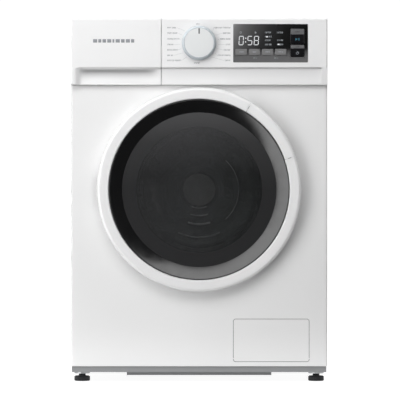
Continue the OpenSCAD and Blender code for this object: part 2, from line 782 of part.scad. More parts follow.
// A round-wire coil spring standing on its end, as one swept solid
module coil(r, wire, length, turns) {
    sides = 5;
    steps = 10 * turns;
    centre = [for (i = [0:steps]) [
        r * cos(36 * i), r * sin(36 * i), wire + (length - 2 * wire) * i / steps]];
    points = [for (i = [0:steps], k = [0:sides - 1]) let (a = 360 * k / sides, b = 36 * i) [
        centre[i][0] + wire * cos(a) * cos(b), centre[i][1] + wire * cos(a) * sin(b),
        centre[i][2] + wire * sin(a)]];
    faces = concat(
        [[for (k = [0:sides - 1]) k]],
        [for (i = [0:steps - 1], k = [0:sides - 1]) let (n = (k + 1) % sides) [
            i * sides + k, (i + 1) * sides + k, (i + 1) * sides + n]],
        [for (i = [0:steps - 1], k = [0:sides - 1]) let (n = (k + 1) % sides) [
            i * sides + k, (i + 1) * sides + n, i * sides + n]],
        [[for (k = [sides - 1:-1:0]) steps * sides + k]]);
    polyhedron(points, faces);
}

module damper_rods() color("silver")
    for (side = [-1, 1]) post(side * damper_x, damper_s, [70, 215], 8);

module damper_cylinders() color("dimgray")
    for (side = [-1, 1]) difference() {
        post(side * damper_x, damper_s, [base_z - 2.9, 150], 14);
        post(side * damper_x, damper_s, [40, 160], 8.05);
    }

// Corrugated hose from the tub's sump to the pump
module sump_hose() color("black") {
    folds = 6;
    pitch = (hose_z[1] - hose_z[0] - 30) / folds;
    low = hose_z[0] + 15;
    outer = concat([[23, hose_z[0]]], [for (i = [0:folds - 1], p = [[23, 0], [27, 0.5]]) [p[0], low + pitch * (i + p[1])]],
        [[23, low + pitch * folds], [23, hose_z[1]]]);
    inner = [for (p = [len(outer) - 1:-1:0]) [outer[p][0] - 2.6, outer[p][1]]];
    translate([filter_x, front_y + hose_s, 0]) rotate_extrude() polygon(concat(outer, inner));
}

// ---- Drive ----

module motor_housing() color("dimgray") {
    difference() {
        union() {
            bar(motor_x, motor_z, [350, 470], motor_r);
            translate([0, front_y, door_z]) rotate([0, -motor_angle, 0])
                translate([tub_r + 8, 382, -28]) cube([20, 56, 56]);
        }
        bar(motor_x, motor_z, [356, 464], 41);
        bar(motor_x, motor_z, [300, 500], 8.05);
    }
}

module motor_rotor() color("silver") {
    bar(motor_x, motor_z, [366, 454], 38);
    bar(motor_x, motor_z, [345, 514], 8);
    bar(motor_x, motor_z, pulley_s, motor_pulley_r);
}

// The belt lies on two circles and their common tangents
module belt_outline(grow) {
    lean = acos((pulley_r - motor_pulley_r) / motor_dist);
    polygon(concat(
        arc([0, 0], pulley_r + grow, lean, 360 - lean, 60),
        arc([motor_dist, 0], motor_pulley_r + grow, -lean, lean, 16)));
}

module drive_belt() color("black")
    translate([0, front_y + pulley_s[1] - 1.5, door_z]) rotate([0, -motor_angle, 0]) rotate([90, 0, 0])
        linear_extrude(pulley_s[1] - pulley_s[0] - 3) difference() {
            belt_outline(3.5);
            belt_outline(0.5);
        }

module drum_pulley() color("silver") {
    difference() {
        union() {
            turned([[pulley_r - 6, pulley_s[0]], [pulley_r, pulley_s[0]], [pulley_r, pulley_s[1]], [pulley_r - 6, pulley_s[1]]]);
            turned([[shaft_r - 1, pulley_s[0] - 3], [30, pulley_s[0] - 3], [30, pulley_s[1]], [shaft_r - 1, pulley_s[1]]]);
            for (a = [0:60:300])
                translate([0, front_y + pulley_s[0] + 3, door_z]) rotate([0, -a, 0])
                    translate([25, 0, -9]) cube([pulley_r - 28, 7, 18]);
        }
        turned([[0, 480], [shaft_r + 0.02, 480], [shaft_r + 0.02, 520], [0, 520]]);
    }
    turned([[0, pulley_s[1] + 0.1], [17, pulley_s[1] + 0.1], [17, pulley_s[1] + 3], [0, pulley_s[1] + 3]]);
    translate([0, front_y + pulley_s[1] + 3, door_z]) rotate([-90, 0, 0]) cylinder(h = 5, r = 10, $fn = 6);
}

// ---- Drum ----

module drum_shell() color("silver") {
    wall = 1.5;
    turned([
        [drum_port_r, drum_s + 4], [drum_port_r, drum_s], [drum_r - 12, drum_s], [drum_r, drum_s + 12],
        [drum_r, drum_back_s - 8], [drum_r - 6, drum_back_s], [60, drum_back_s], [0, drum_back_s - 6],
        [0, drum_back_s - 6 - wall], [60, drum_back_s - wall], [drum_r - 7, drum_back_s - wall],
        [drum_r - wall, drum_back_s - 8.5], [drum_r - wall, drum_s + 13],
        [drum_r - 13, drum_s + wall], [drum_port_r + wall, drum_s + wall], [drum_port_r + wall, drum_s + 4]
    ]);
}

module drum_lifters() color("gray")
    for (a = [90, 210, 330])
        translate([0, front_y, door_z]) rotate([0, -a, 0]) rotate([90, 0, 90])
            translate([0, 0, drum_r - 45.7]) lifter();

// One hollow paddle, tapering towards the drum's axis
module lifter() {
    length = drum_len - 50;
    difference() {
        hull() {
            translate([drum_s + 25, -24, 41]) cube([length, 48, 2]);
            translate([drum_s + 45, -9, 0]) cube([length - 40, 18, 2]);
        }
        hull() {
            translate([drum_s + 28, -21, 41]) cube([length - 6, 42, 3]);
            translate([drum_s + 47, -7, 3]) cube([length - 44, 14, 2]);
        }
    }
}

module drum_spider() color("silver") {
    hub_s = drum_back_s;
    for (a = [30, 150, 270])
        translate([0, front_y + hub_s, door_z]) rotate([0, -a, 0])
            translate([0, 0, -22]) cube([drum_r - 16, 17, 44]);
    turned([
        [0, hub_s], [52, hub_s], [46, hub_s + 24], [shaft_r + 3, hub_s + 24], [shaft_r + 3, bearing_s[0] - 0.5],
        [shaft_r, bearing_s[0] - 0.5], [shaft_r, pulley_s[1]], [0, pulley_s[1]]
    ]);
}

// ---- Electrics and rear fittings ----

// Control board's enclosure, open on the side that lies against the side panel
module main_board() color("gray") difference() {
    block([-289, -205], [380, 500], [70, 205]);
    block([-290, -207], [382, 498], [72, 203]);
}

module inlet_valve() color("whitesmoke") difference() {
    inlet_body();
    bar(inlet_x, inlet_z, [body_d + rear_reach - 4, body_d + rear_reach + 1], 9.5);
}

module inlet_body() {
    block([inlet_x - 18, inlet_x + 18], [478, body_d - sheet - 3], [inlet_z - 17, inlet_z + 17]);
    bar(inlet_x, inlet_z, [body_d - sheet - 4, body_d - sheet], 22);
    bar(inlet_x, inlet_z, [body_d - 10, body_d + 2], thread_r - 1);
    bar(inlet_x, inlet_z, [body_d + 1, body_d + rear_reach], thread_r);
    bar(inlet_x, inlet_z - 30, [485, 505], 6);
    block([inlet_x - 8, inlet_x + 8], [488, 502], [inlet_z - 30, inlet_z - 10]);
}

module mains_gland() color("black")
    translate([gland_x, front_y, gland_z]) rotate([-90, 0, 0]) rotate_extrude()
        polygon([
            [gland_bore_r, body_d - 10], [8.7, body_d - 10], [8.7, body_d], [13, body_d + 0.1],
            [13, body_d + 3], [8.5, body_d + 4], [7, body_d + 17], [gland_bore_r, body_d + 17]
        ]);

module drain_outlet() color("gray") {
    translate([drain_x, front_y, drain_z]) rotate([-90, 0, 0]) rotate_extrude()
        polygon([
            [7.5, body_d - 25], [12.7, body_d - 25], [12.7, body_d], [17, body_d + 0.1], [17, body_d + 3],
            [spigot_r, body_d + 3], [spigot_r, body_d + rear_reach], [7.5, body_d + rear_reach]
        ]);
}

cabinet_shell();
rear_panel();
front_panel();
top_plate();
control_panel();
display_window();
dispenser_housing();
base_tray();
drain_pump();
door_lock();
hinge_bracket();
inlet_valve();
main_board();
cross_braces();
damper_cylinders();
transit_caps();
panel_screws();
drain_outlet();
mains_gland();
lock_nuts();
tub_front();
tub_rear();
top_counterweight();
front_counterweight();
door_seal();
motor_housing();
drum_bearings();
heater();
drive_belt();
damper_rods();
sump_hose();
suspension_springs();
drum_shell();
drum_lifters();
drum_spider();
drum_pulley();
motor_rotor();
door_ring();
door_trim();
door_window();
door_bowl();
door_liner();
hinge_arm();
door_handle();
latch_hook();
drawer_front();
drawer_tray();
programme_knob();
service_flap();
filter_cap();
key([key_x[0], key_x[0] + key_w], key_z);  // option_key_1
key([key_x[1], key_x[1] + key_w], key_z);  // option_key_2
key([key_x[2], key_x[2] + key_w], key_z);  // option_key_3
key([key_x[3], key_x[3] + key_w], key_z);  // option_key_4
key(side_key_x, start_key_z);  // start_key
key(side_key_x, power_key_z);  // power_key
foot(-foot_x, foot_s[0]);  // foot_front_left
foot(foot_x, foot_s[0]);  // foot_front_right
foot(-foot_x, foot_s[1]);  // foot_rear_left
foot(foot_x, foot_s[1]);  // foot_rear_right
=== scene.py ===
"""Looks of the front-loading washing machine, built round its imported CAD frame.

Lengths in this file are millimetres: x to the right, s backwards from the front panel's face, z up.
"""

import json
import math
import random

import bmesh
import bpy
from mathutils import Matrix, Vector


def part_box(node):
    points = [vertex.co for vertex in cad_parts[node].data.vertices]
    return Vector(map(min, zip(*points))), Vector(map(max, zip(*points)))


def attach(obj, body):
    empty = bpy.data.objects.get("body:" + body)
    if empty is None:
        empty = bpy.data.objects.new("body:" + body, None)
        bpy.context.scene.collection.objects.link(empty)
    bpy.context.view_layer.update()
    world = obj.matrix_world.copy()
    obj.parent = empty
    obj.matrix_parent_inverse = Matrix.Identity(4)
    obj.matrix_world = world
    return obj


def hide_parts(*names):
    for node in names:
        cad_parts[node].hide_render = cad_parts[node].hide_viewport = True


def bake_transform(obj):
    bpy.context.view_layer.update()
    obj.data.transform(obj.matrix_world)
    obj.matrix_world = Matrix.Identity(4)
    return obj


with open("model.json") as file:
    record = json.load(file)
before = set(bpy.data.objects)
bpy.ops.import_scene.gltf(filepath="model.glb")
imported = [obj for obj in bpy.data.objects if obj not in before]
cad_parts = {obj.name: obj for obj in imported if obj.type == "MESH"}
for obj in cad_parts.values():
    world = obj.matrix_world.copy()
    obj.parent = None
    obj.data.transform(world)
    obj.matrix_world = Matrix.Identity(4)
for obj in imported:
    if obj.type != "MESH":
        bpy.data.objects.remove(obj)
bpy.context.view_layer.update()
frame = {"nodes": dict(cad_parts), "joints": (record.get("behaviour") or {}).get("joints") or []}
NODES = frame["nodes"]
JOINTS = {j["name"]: j for j in frame["joints"]}

MM = 0.001
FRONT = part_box("front_panel")[0].y
AXIS = JOINTS["drum_spin"]["pos_m"][2] / MM
KNOB_Z = JOINTS["knob_turn"]["pos_m"][2] / MM


def span(node):
    """A node's (x, s, z) ranges in millimetres."""
    low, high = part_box(node)
    return (
        (low.x / MM, high.x / MM),
        ((low.y - FRONT) / MM, (high.y - FRONT) / MM),
        (low.z / MM, high.z / MM),
    )


def at(x, s, z):
    return Vector((x * MM, FRONT + s * MM, z * MM))


# ---------------------------------------------------------------- materials


class Material:
    """A Principled material with procedural colour, roughness and bump, in the object's own coordinates."""

    def __init__(self, name, **sockets):
        self.mat = bpy.data.materials.new(name)
        self.mat.use_nodes = True
        self.tree = self.mat.node_tree
        self.shader = self.tree.nodes["Principled BSDF"]
        self.coords = self.add("ShaderNodeTexCoord").outputs["Object"]
        self.height = None
        for socket, value in sockets.items():
            self.set(socket, value)

    def add(self, kind, **values):
        node = self.tree.nodes.new(kind)
        for key, value in values.items():
            if key in node.inputs:
                node.inputs[key].default_value = value
            else:
                setattr(node, key, value)
        return node

    def link(self, a, b):
        self.tree.links.new(a, b)

    def set(self, socket, value):
        name = socket.replace("_", " ")
        if name == "Base Color" and len(value) == 3:
            value = (*value, 1)
        self.shader.inputs[name].default_value = value

    def noise(self, scale, detail=3, stretch=(1, 1, 1), rough=0.55):
        mapping = self.add("ShaderNodeMapping")
        mapping.inputs["Scale"].default_value = stretch
        self.link(self.coords, mapping.inputs["Vector"])
        n = self.add("ShaderNodeTexNoise")
        n.inputs["Scale"].default_value = scale
        n.inputs["Detail"].default_value = detail
        n.inputs["Roughness"].default_value = rough
        self.link(mapping.outputs["Vector"], n.inputs["Vector"])
        return n.outputs["Fac"]

    def voronoi(self, scale, feature="F1"):
        v = self.add("ShaderNodeTexVoronoi", feature=feature)
        v.inputs["Scale"].default_value = scale
        self.link(self.coords, v.inputs["Vector"])
        return v.outputs["Distance"]

    def ramp(self, source, stops, socket="Base Color"):
        r = self.add("ShaderNodeValToRGB")
        elements = r.color_ramp.elements
        while len(elements) < len(stops):
            elements.new(0.5)
        for element, (place, color) in zip(elements, stops):
            element.position = place
            element.color = (*color, 1) if len(color) == 3 else color
        self.link(source, r.inputs["Fac"])
        if socket:
            self.link(r.outputs["Color"], self.shader.inputs[socket])
        return r.outputs["Color"]

    def tint(self, source, a, b, low=0.35, high=0.65):
        return self.ramp(source, [(low, a), (high, b)])

    def rough(self, source, a, b, low=0.3, high=0.7):
        m = self.add("ShaderNodeMapRange")
        for key, value in zip(("From Min", "From Max", "To Min", "To Max"), (low, high, a, b)):
            m.inputs[key].default_value = value
        self.link(source, m.inputs["Value"])
        self.link(m.outputs["Result"], self.shader.inputs["Roughness"])

    def bump(self, source, distance, strength=1.0):
        b = self.add("ShaderNodeBump")
        b.inputs["Strength"].default_value = strength
        b.inputs["Distance"].default_value = distance
        self.link(source, b.inputs["Height"])
        if self.height is not None:
            self.link(self.height, b.inputs["Normal"])
        self.height = b.outputs["Normal"]
        self.link(self.height, self.shader.inputs["Normal"])
        return self


def paint(name, color, dark, grain=900, roughness=(0.32, 0.4), relief=0.00002):
    """Powder coat: faint orange peel and slow colour drift."""
    m = Material(name, Roughness=0.36, Specular_IOR_Level=0.42)
    m.tint(m.noise(3.0, 2), color, dark)
    m.rough(m.noise(40, 2), *roughness)
    m.bump(m.noise(grain, 2), relief, 0.35)
    return m.mat


def plastic(name, color, dark, roughness=(0.3, 0.42), grain=1500, relief=0.00001, coat=0.0):
    m = Material(name, Roughness=roughness[0], Coat_Weight=coat, Coat_Roughness=0.06)
    m.tint(m.noise(6.0, 3), color, dark)
    m.rough(m.noise(70, 3), *roughness)
    m.bump(m.noise(grain, 2), relief, 0.4)
    return m.mat


def metal(name, color, dark, roughness=(0.25, 0.42), stretch=(1, 1, 60), scale=60, relief=0.000012):
    """Brushed or drawn metal: streaks along one direction."""
    m = Material(name, Metallic=1.0, Roughness=roughness[0])
    streak = m.noise(scale, 3, stretch)
    m.tint(streak, color, dark, 0.3, 0.7)
    m.rough(streak, *roughness)
    m.bump(streak, relief, 0.5)
    return m.mat


def spangle(name, color, dark):
    """Galvanised sheet with its frosty crystals."""
    m = Material(name, Metallic=0.85, Roughness=0.45)
    cells = m.voronoi(150)
    m.tint(cells, color, dark, 0.1, 0.7)
    m.rough(cells, 0.38, 0.58, 0.1, 0.8)
    m.bump(m.noise(500, 2), 0.000012, 0.3)
    return m.mat


def rubber(name, color, dark):
    m = Material(name, Roughness=0.7, Specular_IOR_Level=0.35, Sheen_Weight=0.15, Sheen_Roughness=0.5)
    m.tint(m.noise(25, 4), color, dark)
    m.rough(m.noise(60, 3), 0.58, 0.82)
    m.bump(m.noise(1200, 3), 0.00002, 0.5)
    return m.mat



def fascia_plastic():
    """White fascia plastic, with a soft shade painted into the hollow under the lip."""
    m = Material("fascia_white", Roughness=0.33)
    split = m.add("ShaderNodeSeparateXYZ")
    m.link(m.coords, split.inputs[0])

    def ranged(source, low, high):
        r = m.add("ShaderNodeMapRange", interpolation_type="SMOOTHSTEP")
        for key, value in zip(("From Min", "From Max", "To Min", "To Max"), (low, high, 0.0, 1.0)):
            r.inputs[key].default_value = value
        m.link(source, r.inputs["Value"])
        return r.outputs["Result"]

    near_lip = ranged(split.outputs["Z"], 0.698, 0.727)
    hollow = ranged(split.outputs["Y"], FRONT - 14 * MM, FRONT - 7.5 * MM)
    shade = m.add("ShaderNodeMath", operation="MULTIPLY")
    m.link(near_lip, shade.inputs[0])
    m.link(hollow, shade.inputs[1])
    color = m.tint(m.noise(6.0, 3), (0.87, 0.87, 0.872), (0.855, 0.855, 0.858))
    mix = m.add("ShaderNodeMix", data_type="RGBA", blend_type="MULTIPLY")
    m.link(shade.outputs[0], mix.inputs["Factor"])
    m.link(color, mix.inputs[6])
    mix.inputs[7].default_value = (0.42, 0.42, 0.425, 1)
    m.link(mix.outputs[2], m.shader.inputs["Base Color"])
    m.rough(m.noise(70, 3), 0.3, 0.36)
    m.bump(m.noise(1400, 2), 0.000006, 0.4)
    return m.mat


def base_plastic():
    """Grey base, darker below a height of about 21 mm."""
    m = Material("base_grey", Roughness=0.5)
    split = m.add("ShaderNodeSeparateXYZ")
    m.link(m.coords, split.inputs[0])
    step = m.add("ShaderNodeMapRange")
    for key, value in zip(("From Min", "From Max"), (20.5 * MM, 22.5 * MM)):
        step.inputs[key].default_value = value
    m.link(split.outputs["Z"], step.inputs["Value"])
    m.ramp(step.outputs["Result"], [(0.0, (0.165, 0.17, 0.175)), (1.0, (0.26, 0.265, 0.27))])
    m.rough(m.noise(70, 3), 0.45, 0.6)
    m.bump(m.noise(900, 2), 0.00003, 0.4)
    return m.mat


M = {
    "paint": paint("white_powder_coat", (0.86, 0.86, 0.86), (0.845, 0.845, 0.845)),
    "fascia": fascia_plastic(),
    "door": plastic("door_white", (0.9, 0.9, 0.902), (0.885, 0.885, 0.888), (0.2, 0.27), 1500, 0.000004, 0.3),
    "top": plastic("worktop_laminate", (0.86, 0.86, 0.86), (0.84, 0.84, 0.84), (0.35, 0.5), 700, 0.00003),
    "grey": base_plastic(),
    "liner": plastic("liner_grey", (0.4, 0.41, 0.42), (0.37, 0.38, 0.39), (0.35, 0.5), 900, 0.00002),
    "tray": plastic("tray_grey", (0.62, 0.65, 0.68), (0.59, 0.62, 0.65), (0.25, 0.36), 900, 0.00001),
    "dark": plastic("dark_plastic", (0.035, 0.035, 0.038), (0.025, 0.025, 0.028), (0.4, 0.55), 900, 0.00003),
    "valve": plastic("valve_white", (0.75, 0.75, 0.72), (0.7, 0.7, 0.67), (0.4, 0.55)),
    "tub": plastic("tub_polypropylene", (0.55, 0.58, 0.6), (0.5, 0.53, 0.56), (0.45, 0.6), 500, 0.00004),
    "lifter": plastic("lifter_grey", (0.3, 0.33, 0.37), (0.27, 0.3, 0.34), (0.35, 0.5)),
    "drum": metal("drum_stainless", (0.62, 0.63, 0.65), (0.5, 0.51, 0.53), (0.2, 0.34), (1, 40, 1), 40),
    "zinc": metal("zinc_plate", (0.58, 0.59, 0.6), (0.46, 0.47, 0.48), (0.28, 0.45), (1, 1, 8), 120),
    "steel": metal("bare_steel", (0.52, 0.52, 0.53), (0.4, 0.4, 0.41), (0.25, 0.4), (8, 1, 1), 100),
    "cast": metal("cast_aluminium", (0.6, 0.61, 0.62), (0.5, 0.5, 0.51), (0.45, 0.65),
        (1, 1, 1), 200, 0.00008),
    "galvanised": spangle("galvanised_sheet", (0.6, 0.62, 0.64), (0.54, 0.56, 0.58)),
    "motor": paint("motor_paint", (0.05, 0.052, 0.055), (0.04, 0.042, 0.045), 500, (0.45, 0.6), 0.00006),
    "seal": rubber("seal_rubber", (0.22, 0.225, 0.23), (0.18, 0.185, 0.19)),
    "black_rubber": rubber("black_rubber", (0.028, 0.028, 0.03), (0.02, 0.02, 0.022)),
    "foot": rubber("foot_rubber", (0.02, 0.021, 0.024), (0.015, 0.016, 0.018)),
}


def concrete():
    m = Material("cast_concrete", Roughness=0.9)
    m.ramp(
        m.noise(30, 6, rough=0.7),
        [(0.3, (0.2, 0.195, 0.185)), (0.5, (0.33, 0.32, 0.31)), (0.75, (0.42, 0.41, 0.4))])
    m.bump(m.noise(90, 6, rough=0.7), 0.0012, 0.6)
    m.bump(m.voronoi(160), 0.0005, 0.4)
    return m.mat


def dark_trim():
    """Gloss black of the conical trim: it mirrors the studio's light side and its dark side."""
    m = Material("gloss_black_trim", Roughness=0.2, IOR=1.6, Coat_Weight=0.25, Coat_Roughness=0.16)
    m.tint(m.noise(5, 2), (0.006, 0.006, 0.0065), (0.004, 0.004, 0.0045))
    m.rough(m.noise(60, 2), 0.17, 0.24)
    m.bump(m.noise(900, 2), 0.000004, 0.3)
    return m.mat


def smoked_glass():
    """Tinted window: clear enough in the middle to show the bowl faintly, printed dark grey at its edge. Its
    colour also carries a painted reflection: lighter towards the top and the left, darker at the right.
    """
    m = Material("smoked_glass", Roughness=0.05, IOR=1.45, Coat_Weight=0.6, Coat_Roughness=0.04)
    split = m.add("ShaderNodeSeparateXYZ")
    m.link(m.coords, split.inputs[0])

    def ranged(source, low, high, smooth=False):
        r = m.add("ShaderNodeMapRange", interpolation_type="SMOOTHSTEP" if smooth else "LINEAR")
        for key, value in zip(("From Min", "From Max", "To Min", "To Max"), (low * MM, high * MM, 0.0, 1.0)):
            r.inputs[key].default_value = value
        m.link(source, r.inputs["Value"])
        return r.outputs["Result"]

    flat = m.add("ShaderNodeVectorMath", operation="MULTIPLY_ADD")
    m.link(m.coords, flat.inputs[0])
    flat.inputs[1].default_value = (1, 0, 1)
    flat.inputs[2].default_value = (0, 0, -AXIS * MM)
    length = m.add("ShaderNodeVectorMath", operation="LENGTH")
    m.link(flat.outputs[0], length.inputs[0])
    edge = ranged(length.outputs["Value"], 143, 147, True)
    up = ranged(split.outputs["Z"], AXIS - 180, AXIS + 180)
    across = ranged(split.outputs["X"], -150, 150)
    # Printed dark edge band, with a painted reflection that lightens it towards the top
    rim = m.ramp(
        up,
        [
            (0.0, (0.028, 0.028, 0.029)), (0.5, (0.026, 0.026, 0.027)), (0.8, (0.04, 0.04, 0.041)),
            (1.0, (0.075, 0.075, 0.077))],
        None)
    # Painted reflection in the middle: lighter at the left, darker at the right
    inner = m.ramp(
        across,
        [
            (0.0, (0.034, 0.034, 0.035)), (0.45, (0.022, 0.022, 0.023)), (0.7, (0.008, 0.008, 0.008)),
            (0.95, (0.001, 0.001, 0.001))],
        None)
    # Painted reflection lightening the upper part of the middle
    reflection_lift = m.ramp(up, [(0.6, (0.0, 0.0, 0.0)), (0.92, (0.06, 0.06, 0.062))], None)
    # The two painted reflections added together
    glow = m.add("ShaderNodeMix", data_type="RGBA", blend_type="ADD")
    glow.inputs["Factor"].default_value = 1.0
    m.link(inner, glow.inputs[6])
    m.link(reflection_lift, glow.inputs[7])
    both = m.add("ShaderNodeMix", data_type="RGBA")
    m.link(edge, both.inputs["Factor"])
    m.link(glow.outputs[2], both.inputs[6])
    m.link(rim, both.inputs[7])
    m.link(both.outputs[2], m.shader.inputs["Base Color"])
    clear = m.add("ShaderNodeMapRange")
    clear.inputs["To Min"].default_value = 0.5
    m.link(edge, clear.inputs["Value"])
    m.link(clear.outputs["Result"], m.shader.inputs["Alpha"])
    m.rough(m.noise(30, 2), 0.04, 0.07)
    return m.mat


def clear_glass():
    m = Material("bowl_glass", Roughness=0.03, IOR=1.47, Transmission_Weight=0.0)
    m.tint(m.noise(8, 2), (0.62, 0.66, 0.66), (0.58, 0.62, 0.62))
    m.rough(m.noise(40, 2), 0.02, 0.05)
    m.bump(m.noise(22, 2), 0.0004, 0.3)
    m.set("Alpha", 0.35)
    m.set("Coat_Weight", 0.8)
    m.set("Coat_Roughness", 0.03)
    return m.mat


def display_glass(x, z):
    """Black glass with a painted reflection: light grey at the upper left, fading to black at the right. Its
    lower part is lighter grey too.
    """
    m = Material("display_glass", Roughness=0.1, Coat_Weight=0.5, Coat_Roughness=0.03)
    split = m.add("ShaderNodeSeparateXYZ")
    m.link(m.coords, split.inputs[0])

    def ranged(source, low, high):
        r = m.add("ShaderNodeMapRange")
        for key, value in zip(("From Min", "From Max", "To Min", "To Max"), (low * MM, high * MM, 0.0, 1.0)):
            r.inputs[key].default_value = value
        m.link(source, r.inputs["Value"])
        return r.outputs["Result"]

    across = ranged(split.outputs["X"], *x)
    up = ranged(split.outputs["Z"], *z)
    slant = m.add("ShaderNodeMath", operation="SUBTRACT")
    m.link(across, slant.inputs[0])
    reflection_lift = m.add("ShaderNodeMath", operation="MULTIPLY_ADD")
    reflection_lift.inputs[1].default_value = 0.25
    reflection_lift.inputs[2].default_value = -0.25
    m.link(up, reflection_lift.inputs[0])
    m.link(reflection_lift.outputs[0], slant.inputs[1])
    # Painted reflection: light grey at the upper left, fading to black at the right
    painted_reflection_ramp = m.ramp(
        slant.outputs[0],
        [
            (0.0, (0.3, 0.3, 0.303)), (0.05, (0.19, 0.19, 0.192)), (0.15, (0.12, 0.12, 0.122)),
            (0.3, (0.07, 0.07, 0.071)), (0.5, (0.028, 0.028, 0.029)), (0.75, (0.009, 0.009, 0.009)),
            (1.0, (0.004, 0.004, 0.004))],
        None)
    foot = m.ramp(
        up,
        [
            (0.0, (0.15, 0.15, 0.152)), (0.2, (0.12, 0.12, 0.122)), (0.34, (0.02, 0.02, 0.02)),
            (0.42, (0, 0, 0))],
        None)
    both = m.add("ShaderNodeMix", data_type="RGBA", blend_type="LIGHTEN")
    both.inputs["Factor"].default_value = 1.0
    m.link(painted_reflection_ramp, both.inputs[6])
    m.link(foot, both.inputs[7])
    m.link(both.outputs[2], m.shader.inputs["Base Color"])
    m.rough(m.noise(60, 2), 0.08, 0.12)
    return m.mat


def lamp(name, color, strength):
    """A lit print: even glow, with faint unevenness of the diffuser behind it."""
    m = Material(name, Roughness=0.5, Emission_Strength=strength)
    m.set("Base_Color", tuple(c * 0.3 for c in color))
    m.ramp(m.noise(400, 2), [(0.3, tuple(c * 0.94 for c in color)), (0.7, color)], "Emission Color")
    return m.mat


def ink(name, color):
    m = Material(name, Roughness=0.55)
    m.tint(m.noise(800, 2), color, tuple(c * 0.85 for c in color))
    return m.mat


M["concrete"] = concrete()
M["trim"] = dark_trim()
M["window"] = smoked_glass()
M["bowl"] = clear_glass()
M["hub"] = plastic("bowl_hub", (0.42, 0.43, 0.43), (0.38, 0.39, 0.39), (0.2, 0.3))
# Light colour for the bowl's partial rings: painted highlights
M["rib"] = plastic("bowl_rib_highlight", (0.75, 0.77, 0.77), (0.7, 0.72, 0.72), (0.15, 0.25))
M["lit"] = lamp("lit_white", (0.95, 0.97, 1.0), 0.62)
M["lit_dim"] = lamp("lit_dim", (0.8, 0.85, 0.9), 0.14)
M["lit_teal"] = lamp("lit_teal", (0.06, 0.3, 0.42), 0.2)
M["ink_grey"] = ink("ink_grey", (0.27, 0.28, 0.3))
M["ink_soft"] = ink("ink_soft", (0.46, 0.47, 0.48))
M["ink_dark"] = ink("ink_dark", (0.02, 0.02, 0.022))
M["key"] = plastic("key_grey", (0.2, 0.2, 0.203), (0.17, 0.17, 0.172), (0.28, 0.36), 1500, 0.000004)
M["band"] = plastic("band_grey", (0.15, 0.152, 0.155), (0.12, 0.122, 0.125), (0.28, 0.36), 1500, 0.000004)
M["key_black"] = plastic(
    "key_black", (0.008, 0.008, 0.009), (0.006, 0.006, 0.007), (0.14, 0.2), 1500, 0.000003)
M["knob_side"] = plastic(
    "knob_satin_blue", (0.58, 0.63, 0.67), (0.54, 0.59, 0.63), (0.25, 0.34), 1500, 0.000004, 0.1)
M["knob_face"] = plastic("knob_face", (0.8, 0.815, 0.82), (0.78, 0.795, 0.8), (0.3, 0.38), 1500, 0.000004)


# ---------------------------------------------------------------- mesh helpers


def piece(name, verts, faces, body, material, stands_for=(), slot=None, sharp=35, flat=False):
    mesh = bpy.data.meshes.new(name)
    mesh.from_pydata([tuple(v) for v in verts], [], faces)
    bm = bmesh.new()
    bm.from_mesh(mesh)
    bmesh.ops.remove_doubles(bm, verts=bm.verts, dist=2e-6)
    bmesh.ops.recalc_face_normals(bm, faces=bm.faces)
    bm.to_mesh(mesh)
    bm.free()
    if not flat:
        mesh.polygons.foreach_set("use_smooth", [True] * len(mesh.polygons))
        mesh.set_sharp_from_angle(angle=math.radians(sharp))
    mesh.materials.append(M[material] if isinstance(material, str) else material)
    obj = bpy.data.objects.new(name, mesh)
    bpy.context.scene.collection.objects.link(obj)
    if body:
        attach(obj, body)
    if stands_for:
        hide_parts(*stands_for)
    return obj


def join(*parts):
    """Several (verts, faces) as one."""
    verts, faces = [], []
    for v, f in parts:
        faces += [tuple(i + len(verts) for i in face) for face in f]
        verts += list(v)
    return verts, faces


def fillet(points, radius, steps=5, closed=True):
    """Rounds a polyline's corners. radius is one number, or one per corner."""
    out, n = [], len(points)
    radii = [radius] * n if isinstance(radius, (int, float)) else radius
    for i, p in enumerate(points):
        if radii[i] <= 0 or (not closed and i in (0, n - 1)):
            out.append(tuple(p))
            continue
        a, b, c = (Vector(points[(i + d) % n]) for d in (-1, 0, 1))
        u, v = (a - b), (c - b)
        lu, lv = u.length, v.length
        if lu < 1e-6 or lv < 1e-6:
            out.append(tuple(p))
            continue
        u, v = u / lu, v / lv
        angle = u.angle(v)
        if angle < 0.02 or angle > math.pi - 0.02:
            out.append(tuple(p))
            continue
        d = min(radii[i] / math.tan(angle / 2), lu * 0.49, lv * 0.49)
        r = d * math.tan(angle / 2)
        centre = b + (u + v).normalized() * (r / math.sin(angle / 2))
        start, end = b + u * d - centre, b + v * d - centre
        sweep = start.angle(end)
        for k in range(steps + 1):
            t = k / steps
            w = (math.sin((1 - t) * sweep) * start + math.sin(t * sweep) * end) / math.sin(sweep)
            out.append(tuple(centre + w))
    return out


def lathe(profile, centre=(0.0, 0.0), start=0.0, stop=360.0, n=192, axis="y", closed=True):
    """Turns [(radius, place along the axis)] about a line along y (at x, z) or along z (at x, s)."""
    whole = stop - start >= 359.999
    steps = n if whole else n + 1
    verts, faces, m = [], [], len(profile)
    for k in range(steps):
        a = math.radians(start + (stop - start) * k / n)
        c, s = math.cos(a), math.sin(a)
        for r, h in profile:
            if axis == "y":
                verts.append(at(centre[0] + r * c, h, centre[1] + r * s))
            else:
                verts.append(at(centre[0] + r * c, centre[1] + r * s, h))
    for k in range(n):
        k2 = (k + 1) % steps if whole else k + 1
        for i in range(m if closed else m - 1):
            j = (i + 1) % m
            faces.append((k * m + i, k * m + j, k2 * m + j, k2 * m + i))
    if not whole and closed:
        faces += [tuple(range(m)), tuple(n * m + i for i in reversed(range(m)))]
    return verts, faces


def rounded(x, z, r, steps=6):
    """A rectangle's outline with round corners, counter-clockwise."""
    out = []
    for cx, cz, a0 in (
        (x[1] - r, z[1] - r, 0), (x[0] + r, z[1] - r, 90), (x[0] + r, z[0] + r, 180),
        (x[1] - r, z[0] + r, 270)):
        for k in range(steps + 1):
            a = math.radians(a0 + 90 * k / steps)
            out.append((cx + r * math.cos(a), cz + r * math.sin(a)))
    return out


